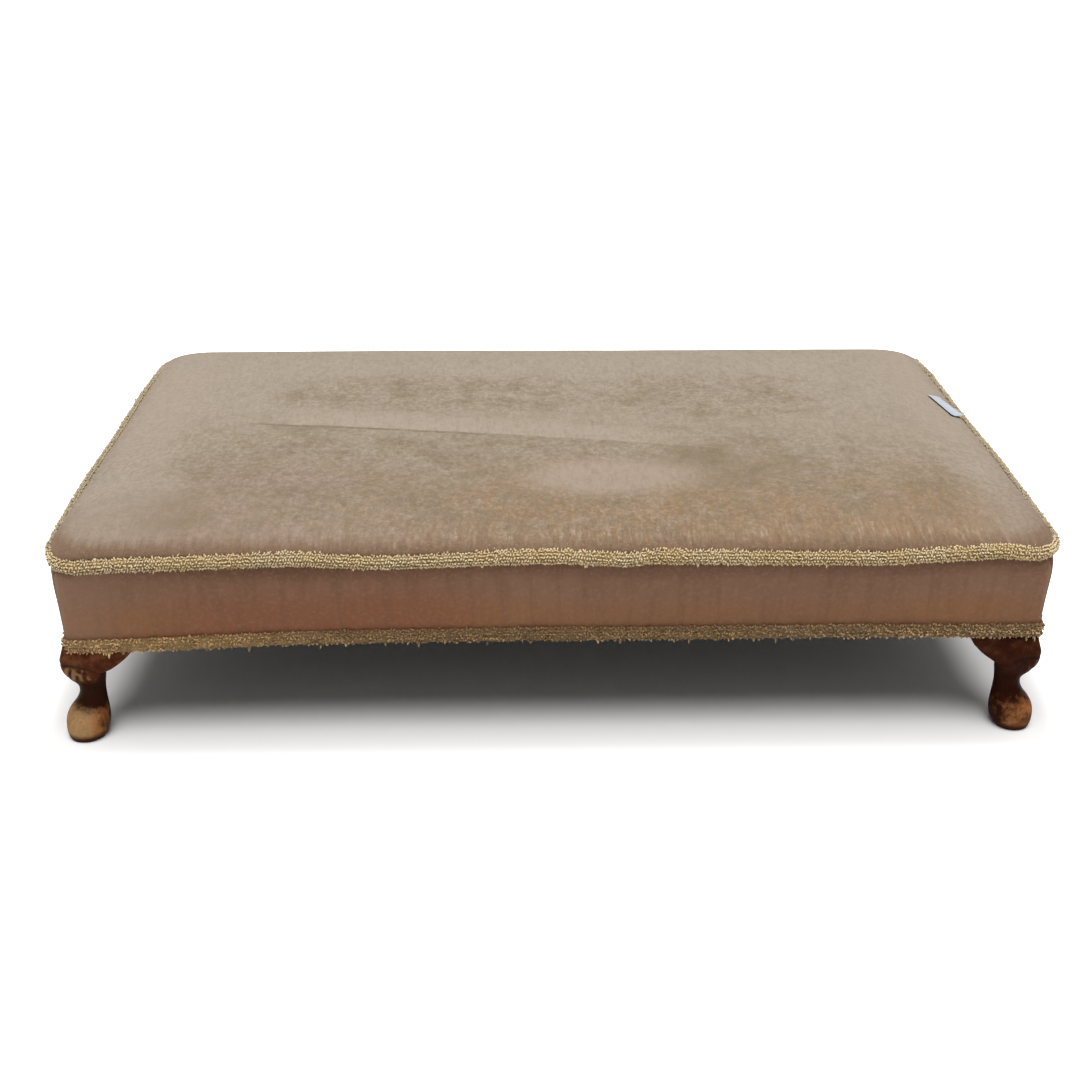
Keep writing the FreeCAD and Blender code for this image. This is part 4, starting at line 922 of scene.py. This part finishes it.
def loop_mesh():
    """One small arch of yarn that stands on the XY plane: width 2, height 1, thread to scale."""
    form = bmesh.new()
    ring = bmesh.ops.create_circle(form, segments=4, radius=LOOP_THREAD / LOOP_WIDTH)["verts"]
    bmesh.ops.translate(form, verts=ring, vec=(1, 0, 0))
    bmesh.ops.spin(
        form, geom=ring + form.edges[:], cent=(0, 0, 0), axis=(0, -1, 0), dvec=(0, 0, 0),
        angle=math.pi, steps=LOOP_BENDS,
    )
    return mesh_from(form, "loop")


def copies(mesh, count):
    """A mesh that holds a mesh so many times over, in the same place."""
    piece = bpy.data.objects.new("copies", mesh)
    bpy.context.scene.collection.objects.link(piece)
    array = piece.modifiers.new("array", "ARRAY")
    array.count = count
    array.use_relative_offset = False
    array.use_merge_vertices = False
    found = bpy.data.meshes.new_from_object(piece.evaluated_get(bpy.context.evaluated_depsgraph_get()))
    bpy.data.objects.remove(piece)
    return found


def tufted(name, places, frames, sizes, shades, core, material):
    """A piece of ruche: loops at their places on a core.

    A frame holds the loop's own three directions; sizes are its width, thread and height."""
    pile = copies(loop_mesh(), len(places))
    points = points_of(pile).reshape(len(places), -1, 3)
    # Each loop is painted darker towards its base: painted shade in the hollows between the loops.
    base_shade = 0.1 + 0.9 * np.clip(points[:, :, 2] / 1.4, 0, 1)
    points = np.einsum("nvk,nk,nkd->nvd", points, sizes, frames) + places[:, None, :]
    move_points(pile, points.reshape(-1, 3))
    mark = pile.attributes.new("shade", "FLOAT", "POINT")
    mark.data.foreach_set("value", (base_shade * shades[:, None]).ravel().astype(np.float32))
    joined = bmesh.new()
    joined.from_mesh(pile)
    joined.from_mesh(core)
    joined.to_mesh(pile)
    joined.free()
    return new_piece(name, pile, material)


def carried_on(form, face):
    """Extrudes a closed form's end face, and gives the new end face."""
    made = bmesh.ops.extrude_face_region(form, geom=[face])["geom"]
    bmesh.ops.delete(form, geom=[face], context="FACES_ONLY")
    return next(item for item in made if isinstance(item, bmesh.types.BMFace))


def swept(path, outline, name):
    """A closed bar: an outline of pairs, across and up, carried along a path of points and directions."""
    form = bmesh.new()
    bmesh.ops.create_circle(form, segments=len(outline), radius=1, cap_ends=True)
    face = form.faces[:][0]
    for number, (point, outward, height) in enumerate(path):
        if number:
            face = carried_on(form, face)
        for vertex, (across, up) in zip(face.verts, outline):
            vertex.co = (*(point + outward * across), height + up)
    return mesh_from(form, name)


# Tones of the yarn, of the shade painted in the hollows between its loops and at the top of the trim, and
# of the dust in it.
yarn = SimpleNamespace(
    straw=(0.92, 0.76, 0.505), gold=(0.87, 0.67, 0.38), underside_hollow_shade=(0.17, 0.095, 0.032),
    hollow_shade=(0.34, 0.235, 0.1), grey_end=(0.43, 0.36, 0.26), left_tan=(0.82, 0.55, 0.235),
    middle_tan=(0.56, 0.345, 0.142), right_tan=(0.84, 0.56, 0.285), faded_tan=(0.74, 0.53, 0.35),
    dust=(0.21, 0.122, 0.055), left_hollow_shade=(0.26, 0.15, 0.06), trim_hollow_shade=(0.13, 0.072, 0.028),
    shade_at_trim_top=(0.16, 0.085, 0.035), fuzz=(0.9, 0.75, 0.53),
)


def ruche_yarn():
    """Old gold yarn: pale on the crests, dusty, with shade painted brown between the loops, under the cord
    and along the top of the trim.
    """
    paint = Paint(
        "old_gold_ruche", 0.9, Specular_IOR_Level=0.12, Sheen_Weight=0.15, Sheen_Roughness=0.5,
        Sheen_Tint=(0.9, 0.75, 0.5, 1),
    )
    shade = paint.attribute("shade")
    drift = paint.noise(24.0, 4.0)
    fuzz = paint.noise(1600.0, 3.0, 0.7)
    x, z = paint.split["X"], paint.split["Z"]
    straw = paint.mix(paint.ramp(drift, 0.4, 0.62), yarn.straw, yarn.gold)
    # Painted shade in the hollows between the cord's loops, darker on its underside.
    olive = paint.mix(paint.ramp(z, 0.19, 0.2), yarn.underside_hollow_shade, yarn.hollow_shade)
    cord = paint.mix(paint.ramp(shade, 0.05, 0.72), olive, straw)
    ends = paint.ramp(paint.maths("ABSOLUTE", x), 0.474, 0.482, 0.0, 0.75)
    ends = paint.times(ends, paint.ramp(paint.split["Y"], -0.275, -0.25))
    cord = paint.mix(ends, cord, yarn.grey_end)
    tan = paint.mix(paint.ramp(x, -0.42, -0.15), yarn.left_tan, yarn.middle_tan)
    tan = paint.mix(paint.ramp(x, 0.1, 0.42), tan, yarn.right_tan)
    tan = paint.mix(paint.ramp(drift, 0.45, 0.65, 0.0, 0.5), tan, yarn.faded_tan)
    dusty = paint.ramp(paint.noise(95.0, 4.0, 0.7), 0.46, 0.6, 0.0, 0.8)
    tan = paint.mix(dusty, tan, yarn.dust)
    # Painted shade in the hollows between the trim's loops.
    hollow_shading = paint.mix(paint.ramp(x, -0.4, -0.15), yarn.left_hollow_shade, yarn.trim_hollow_shade)
    foot = paint.mix(paint.ramp(shade, 0.05, 0.8), hollow_shading, tan)
    # Painted shade along the top of the trim, where it meets the border.
    foot = paint.mix(paint.ramp(z, 0.1155, 0.121, 0.0, 0.45), foot, yarn.shade_at_trim_top)
    paint.colour = paint.mix(paint.ramp(z, 0.14, 0.15), foot, cord)
    paint.lay(paint.ramp(fuzz, 0.45, 0.7, 0.0, 0.25), yarn.fuzz)
    return paint.finish((fuzz, 0.0004))


gold_yarn = ruche_yarn()


def loop_frames(outward, along, lean):
    """Frames for loops that stand on a surface: their width across the run, turned by a lean."""
    side = np.cross(outward, along)
    wide = along * np.cos(lean)[:, None] + side * np.sin(lean)[:, None]
    thick = np.cross(outward, wide)
    return np.stack((wide, thick, outward), axis=1)


def normalised(vectors):
    return vectors / np.linalg.norm(vectors, axis=1)[:, None]


def make_ruche(side, kind):
    """One side's run of the cord or of the trim."""
    ruche = RUCHES[kind]
    is_cord = kind == "cord"
    columns = round(side_run(side, ruche.half_length, ruche.half_depth) / ruche.column)
    places, outwards, alongs, lows = [], [], [], []
    path = []
    for column in range(columns + 1):
        share = column / columns
        point, outward = rim_point(side, share, ruche.half_length, ruche.half_depth, ruche.bend)
        along = np.array((-outward[1], outward[0], 0))
        height = ruche.height + stray_at(ruche.lines, side, share)
        if column % 2 == 0:
            path.append((point, outward, height))
        for number, row in enumerate(ruche.rows):
            if is_cord:
                radial = np.array((*(outward * math.cos(row)), math.sin(row)))
                place = np.array((*point, height)) + radial * CORD_CORE
                low = max(0.0, 0.4 - math.sin(row)) / 1.4
            else:
                tip = (number - 2) / 2
                radial = np.array((*outward, 0.75 * tip**3))
                place = np.array((*(point + outward * TRIM_LOOPS_OUT), height + row))
                low = max(0.0, -tip)
            places.append(place + along * LOOP_STAGGER * (number % 2))
            outwards.append(radial)
            alongs.append(along)
            lows.append(low)
    places, outwards, alongs, lows = map(np.array, (places, outwards, alongs, lows))
    count = len(places)
    jitter = random_numbers.normal(0, 1, (count, 3))
    long_loop = random_numbers.random(count) < ruche.long_share + ruche.low_long_share * lows**2
    outwards = normalised(outwards + 0.16 * jitter)
    outwards = normalised(outwards - np.outer(long_loop * lows, (0, 0, 0.9)))
    places = places + ruche.scatter * jitter[:, ::-1]
    lean = LOOP_LEAN + random_numbers.normal(0, 0.9, count)
    alongs = normalised(alongs - outwards * (alongs * outwards).sum(1)[:, None])
    reach = LOOP_HEIGHT * (0.8 + 0.4 * random_numbers.random(count))
    if side in ("left", "right") and not is_cord:
        reach = reach * END_LOOPS_SHARE
    reach = reach * (1 + long_loop * (0.3 + 1.2 * random_numbers.random(count) ** 2))
    width = LOOP_WIDTH * (0.85 + 0.35 * random_numbers.random(count))
    sizes = np.stack((width, np.full(count, LOOP_WIDTH), reach), axis=1)
    # Painted shade darkens the loops that face down, on the cord's underside and on the trim's lowest rows;
    # the random spread is the yarn's own tone.
    shades = ruche.spread * random_numbers.normal(0, 1, count) - ruche.underside_shade * lows + 0.15 * long_loop
    shades = np.clip(0.86 - ruche.dim + shades, 0.1, 1)
    if is_cord:
        turns = [math.tau * step / CORD_CORE_FACETS for step in range(CORD_CORE_FACETS)]
        outline = [(CORD_CORE * math.cos(turn), CORD_CORE * math.sin(turn)) for turn in turns]
    else:
        outline = [
            (0.0, -TRIM_LOW), (TRIM_THICKNESS, 0.0), (TRIM_THICKNESS, TRIM_SHOULDER), (0.0, TRIM_TOP),
            (-TRIM_BACK, TRIM_TOP), (-TRIM_BACK, -TRIM_LOW),
        ]
    core = swept(path, outline, "core")
    # The core shows only between the loops, so it takes the painted hollow shade.
    core.attributes.new("shade", "FLOAT", "POINT").data.foreach_set("value", [0.12] * len(core.vertices))
    frames = loop_frames(outwards, alongs, lean)
    piece = tufted(f"ruche_{kind}_{side}", places, frames, sizes, shades, core, gold_yarn)
    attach(piece, "root")
    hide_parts(ruche.node)


for side in SIDES:
    make_ruche(side, "cord")
    make_ruche(side, "trim")

# Legs and ears
# Four cabriole legs in mahogany, with carved gouges on the knee and a round pad foot, and a small
# bracket each side of every leg, glued and pinned under the rail. The dark polish is worn through
# to tan wood on the crests of the carving and on the feet, most of all at the front left.
LEG_CORNER_X = 0.487
LEG_CORNER_Y = 0.287
# Height, reach outwards and inwards from the corner lines, and how round the section is.
LEG_ROWS = (
    (0.1054, -0.0004, -0.0342, 0.14), (0.0980, 0.0017, -0.0342, 0.16), (0.0910, 0.0040, -0.0342, 0.19),
    (0.0840, 0.0048, -0.0342, 0.22), (0.0780, 0.0043, -0.0342, 0.26), (0.0720, 0.0028, -0.0342, 0.31),
    (0.0660, 0.0004, -0.0342, 0.36), (0.0600, -0.0032, -0.0337, 0.41), (0.0540, -0.0062, -0.0328, 0.45),
    (0.0480, -0.0068, -0.0323, 0.46), (0.0420, -0.0053, -0.0325, 0.47), (0.0360, -0.0018, -0.0332, 0.47),
    (0.0300, 0.0033, -0.0343, 0.48), (0.0240, 0.0066, -0.0351, 0.48), (0.0180, 0.0080, -0.0353, 0.48),
    (0.0120, 0.0083, -0.0347, 0.48), (0.0070, 0.0079, -0.0334, 0.48), (0.0030, 0.0067, -0.0310, 0.48),
    (0.0, 0.0055, -0.0290, 0.48),
)
LEG_STEPS = 4
LEG_SPOTS = 96
# The knee's gouges: their depth, the width of a lobe, where the first lies, how they slant, and the
# height and reach of their fan.
GOUGE_DEPTH = 0.0015
LOBE_WIDTH = 0.0078
LOBE_FIRST = 0.0052
LOBE_SLANT = 0.5
FAN_HEIGHT = 0.0755
FAN_HALF_HEIGHT = 0.0082
FAN_RUN = 0.029
# The brow is a cut line over the fan that falls away from the corner.
BROW_RISE = 0.0105
BROW_FALL = 0.004
BROW_FALL_RUN = 0.028
BROW_RUN = 0.036
BROW_WIDTH = 0.0016
# How far each leg stands out along the length, and how far its foot kicks forwards.
LEG_STANCE = {
    "front_left": (0.0015, 0.006), "front_right": (-0.0016, 0.001), "back_left": (0.0, 0.002),
    "back_right": (0.0, 0.002),
}
KICK_FROM = 0.06
# How much of each foot is worn to the wood, and how much of each knee's carving.
LEG_WEAR = {
    "front_left": (1.0, 1.3), "front_right": (0.5, 0.25), "back_left": (0.5, 0.4), "back_right": (0.6, 0.3),
}
WORN_TOP = 0.041
WORN_TOP_FADE = 0.013
WORN_FOOT = 0.002
WORN_FOOT_FADE = 0.004


# Tones of the polish, of the wood that it is worn to, of the darkening in the carved hollows, and of the
# shade painted at the feet's lowest part.
mahogany = SimpleNamespace(
    polish=(0.028, 0.009, 0.004), knee_polish=(0.078, 0.021, 0.008),
    right_legs_darker=(0.024, 0.0048, 0.0024), dark_polish=(0.018, 0.006, 0.003),
    ruddy=(0.16, 0.068, 0.03), tan=(0.4, 0.235, 0.11), brown_tan=(0.31, 0.16, 0.064),
    ankle=(0.2, 0.12, 0.066), grain=(0.24, 0.11, 0.035), speck=(0.2, 0.095, 0.035),
    red_tan=(0.37, 0.125, 0.037), hollow_darkening=(0.012, 0.005, 0.003), shade_at_floor=(0.045, 0.013, 0.007),
)


def leg_polish():
    """Dark red brown polish over tan wood, darker in the carved hollows, with shade painted where the feet
    meet the floor.
    """
    paint = Paint("worn_mahogany", 0.6, Specular_IOR_Level=0.02)
    worn = paint.attribute("worn")
    hollow_darkening = paint.attribute("hollow_darkening")
    grain = paint.noise(1.0, 4.0, 0.6, paint.stretched(320, 320, 45))
    blotch = paint.noise(70.0, 5.0, 0.65)
    specks = paint.noise(260.0, 4.0, 0.7)
    broad = paint.noise(32.0, 3.0)
    x, z = paint.split["X"], paint.split["Z"]
    upper = paint.ramp(z, 0.058, 0.074)
    paint.colour = paint.mix(upper, mahogany.polish, mahogany.knee_polish)
    # The legs on the right of the stool are painted darker, with fewer ruddy patches.
    darker = paint.ramp(x, 0.0, 0.1, 0.0, 0.7)
    paint.lay(darker, mahogany.right_legs_darker)
    paint.lay(paint.ramp(blotch, 0.5, 0.34, 0.0, 0.6), mahogany.dark_polish)
    ruddy = paint.times(paint.ramp(blotch, 0.48, 0.64, 0.0, 0.6), upper)
    ruddy = paint.times(ruddy, paint.ramp(darker, 0.0, 0.7, 1.0, 0.35))
    paint.lay(ruddy, mahogany.ruddy)
    tan = paint.mix(paint.ramp(broad, 0.42, 0.58), mahogany.tan, mahogany.brown_tan)
    tan = paint.mix(paint.ramp(z, 0.022, 0.036, 0.0, 0.6), tan, mahogany.ankle)
    tan = paint.mix(paint.ramp(grain, 0.4, 0.65, 0.0, 0.22), tan, mahogany.grain)
    tan = paint.mix(paint.ramp(specks, 0.5, 0.64, 0.0, 0.35), tan, mahogany.speck)
    side = paint.stray(x, blotch, 0.02)
    red_side = paint.most(paint.ramp(side, -0.474, -0.458), paint.ramp(side, 0.46, 0.475, 0.0, 0.5))
    tan = paint.mix(paint.times(red_side, 0.75), tan, mahogany.red_tan)
    rubbed = paint.ramp(paint.stray(paint.stray(worn, blotch, 1.1), specks, 0.6), 0.14, 0.76)
    paint.lay(rubbed, tan)
    # Darker in the carved hollows.
    paint.lay(hollow_darkening, mahogany.hollow_darkening)
    # Shade is painted on the lowest centimetre of each foot, where it meets the floor.
    paint.lay(paint.ramp(z, 0.011, 0.003, 0.0, 0.92), mahogany.shade_at_floor)
    rough = paint.ramp(rubbed, 0.0, 1.0, 0.42, 0.7)
    return paint.finish((grain, 0.0003), (blotch, 0.0012), roughness=rough)


def clamped(value):
    return max(0.0, min(1.0, value))


def signs(corner):
    """The signs of X and Y at a corner."""
    return 1 if corner.endswith("right") else -1, 1 if corner.startswith("back") else -1


def leg_mesh(corner):
    """A leg: rings of a rounded square, drawn down from the rail to the foot."""
    side_x, side_y = signs(corner)
    foot_wear, knee_wear = LEG_WEAR[corner]
    stand, kick = LEG_STANCE[corner]
    form = bmesh.new()
    worn = form.verts.layers.float.new("worn")
    hollow_darkening = form.verts.layers.float.new("hollow_darkening")
    bmesh.ops.create_circle(form, segments=LEG_SPOTS, radius=1, cap_ends=True)
    face = form.faces[:][0]
    angles = [math.atan2(vertex.co.y, vertex.co.x) for vertex in face.verts]
    for number, (height, out, inward, roundness) in enumerate(smooth_rows(LEG_ROWS, LEG_STEPS)):
        if number:
            face = carried_on(form, face)
        half, middle = (out - inward) / 2, (out + inward) / 2
        power = 2 * max(roundness, 0.12)
        low = max(0.0, 1 - height / KICK_FROM)
        over_fan = height - FAN_HEIGHT
        foot = clamped((WORN_TOP - height) / WORN_TOP_FADE) * clamped((height - WORN_FOOT) / WORN_FOOT_FADE)
        for vertex, angle in zip(face.verts, angles):
            across = math.copysign(abs(math.cos(angle)) ** power, math.cos(angle))
            deep = math.copysign(abs(math.sin(angle)) ** power, math.sin(angle))
            run = half * (1 - min(across, deep))
            fan = math.exp(-((over_fan / FAN_HALF_HEIGHT) ** 4)) * max(0.0, 1 - (run / FAN_RUN) ** 6)
            lobe = math.cos(math.tau * (run - LOBE_FIRST - LOBE_SLANT * over_fan) / LOBE_WIDTH)
            over_brow = over_fan - BROW_RISE + BROW_FALL * (run / BROW_FALL_RUN) ** 3
            line = math.exp(-((over_brow / BROW_WIDTH) ** 2)) * max(0.0, 1 - (run / BROW_RUN) ** 6)
            cut = GOUGE_DEPTH * max(fan * (0.5 - 0.5 * lobe), 0.7 * line)
            reach = math.hypot(across, deep)
            u = middle + half * across - cut * across / reach
            v = middle + half * deep - cut * deep / reach
            front = clamped(0.62 + 0.5 * math.cos(angle - math.pi / 4))
            vertex[worn] = 0.95 * foot_wear * foot * front + knee_wear * 0.9 * fan * clamped(lobe + 0.55)
            # The troughs of the gouges and the brow's cut line are painted darker.
            vertex[hollow_darkening] = 0.85 * max(fan * max(0.0, -lobe - 0.45) / 0.55, line)
            spot = (LEG_CORNER_X + u + stand, LEG_CORNER_Y + v + kick * low)
            vertex.co = (side_x * spot[0], side_y * spot[1], height)
    return mesh_from(form, f"{corner}_leg")


polish = leg_polish()
for corner in CORNERS:
    leg = new_piece(f"carved_{corner}_leg", leg_mesh(corner), polish)
    applied(leg, "SUBSURF", levels=1, render_levels=1)
    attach(leg, "root")
    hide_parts(f"{corner}_leg")

# Places along an ear and how far its lower edge hangs below the rail there.
EAR_EDGE = (
    (0.0705, 0.0000), (0.0698, 0.0040), (0.0665, 0.0110), (0.0630, 0.0150), (0.0590, 0.0192),
    (0.0545, 0.0230), (0.0500, 0.0262), (0.0440, 0.0300), (0.0380, 0.0325), (0.0300, 0.0340),
    (0.0230, 0.0340),
)
EAR_STEPS = 5
EAR_ROWS = 14
EAR_TOP = 0.1079
EAR_LEAST_DROP = 0.0004
EAR_SHORT = 0.0002
# The face stands a little inside the knee, tucks under the trim, and draws back towards its tip
# and its lower edge.
EAR_START = 0.023
EAR_RUN = 0.045
EAR_INSIDE_KNEE = 0.0004
EAR_BACK = 0.0018
EAR_UNDER_TRIM = 0.0008
EAR_LOW_EDGE = 0.0035
EAR_DEPTH = 0.0235
TRIM_UNDERSIDE = 0.1055
TRIM_FADE = 0.005


def ear_mesh(corner, along_x):
    """A bracket: its shaped face, full beside the knee and drawn back to its tip, carried back."""
    edge = smooth_rows(EAR_EDGE, EAR_STEPS)
    knee = np.array(LEG_ROWS)[::-1]
    sides = signs(corner)
    corners = (LEG_CORNER_X, LEG_CORNER_Y)
    run, thick = (0, 1) if along_x else (1, 0)
    form = bmesh.new()
    bmesh.ops.create_grid(form, x_segments=len(edge) - 1, y_segments=EAR_ROWS, size=1)
    for vertex in form.verts:
        away, drop = edge[round((vertex.co.x + 1) / 2 * (len(edge) - 1))]
        down = (1 - vertex.co.y) / 2
        height = EAR_TOP - max(drop - EAR_SHORT, EAR_LEAST_DROP) * down
        beside = float(np.interp(height, knee[:, 0], knee[:, 1])) - EAR_INSIDE_KNEE
        from_knee = clamped((away - EAR_START) / EAR_RUN)
        smooth = from_knee**2 * (3 - 2 * from_knee)
        out = beside * (1 - smooth) - EAR_BACK * smooth
        under = clamped((TRIM_UNDERSIDE - height) / TRIM_FADE)
        out = min(out, out * under - EAR_UNDER_TRIM * (1 - under)) - EAR_LOW_EDGE * down**7
        vertex.co.z = height
        vertex.co[run] = sides[run] * (corners[run] - away)
        vertex.co[thick] = sides[thick] * (corners[thick] + out)
    back = bmesh.ops.extrude_face_region(form, geom=form.faces[:])["geom"]
    for vertex in [item for item in back if isinstance(item, bmesh.types.BMVert)]:
        vertex.co[thick] = sides[thick] * (corners[thick] - EAR_BACK - EAR_DEPTH)
    return mesh_from(form, "ear")


for corner in CORNERS:
    for place in (corner.split("_")[0], "side"):
        ear = new_piece(f"shaped_{corner}_{place}_ear", ear_mesh(corner, place != "side"), polish)
        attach(ear, "root")
        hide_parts(f"{corner}_{place}_ear")

# Dust cover and paper ticket
# Black cotton is tacked under the rails. A small slip of bluish white paper lies on the velvet by
# the right edge, curled a little.
TICKET_MIDDLE = Vector((0.4735, 0.063))
TICKET_LENGTH = 0.060
TICKET_WIDTH = 0.0165
TICKET_TURN = math.radians(12)
TICKET_THICKNESS = 0.0003
# Past this line the slip stands straight out over the cord instead of following the velvet down.
TICKET_REST_X = 0.4765
TICKET_LIFT = 0.0012
TICKET_END_CURL = 0.012
TICKET_SIDE_CURL = 0.004

dress(["dust_cover"], woven("black_cotton", (0.035, 0.034, 0.034), (0.012, 0.012, 0.012), 0.0006, 0.0001))

paint = Paint("ticket_paper", 0.7, Specular_IOR_Level=0.3)
fibre = paint.noise(420.0, 4.0)
paint.colour = paint.mix(paint.ramp(fibre, 0.4, 0.65), (0.58, 0.62, 0.69), (0.51, 0.55, 0.63))
paper = paint.finish((fibre, 0.0001))
form = bmesh.new()
bmesh.ops.create_grid(form, x_segments=14, y_segments=36, size=0.5)
under_slip = BVHTree.FromObject(top, bpy.context.evaluated_depsgraph_get())
along = Vector((-math.sin(TICKET_TURN), math.cos(TICKET_TURN)))
beside = Vector((along.y, -along.x))
for vertex in form.verts:
    u, v = vertex.co.x, vertex.co.y
    place = TICKET_MIDDLE + beside * u * TICKET_WIDTH + along * v * TICKET_LENGTH
    hit = under_slip.ray_cast(Vector((min(place.x, TICKET_REST_X), place.y, 1)), Vector((0, 0, -1)))[0]
    curl = TICKET_END_CURL * max(0.0, abs(v) - 0.3) ** 2 + TICKET_SIDE_CURL * max(0.0, -u) ** 2
    vertex.co = (*place, hit.z + TICKET_LIFT + curl)
ticket = new_piece("blank_ticket", mesh_from(form, "ticket"), paper)
applied(ticket, "SOLIDIFY", thickness=TICKET_THICKNESS, offset=0)
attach(ticket, "root")
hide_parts("paper_ticket")
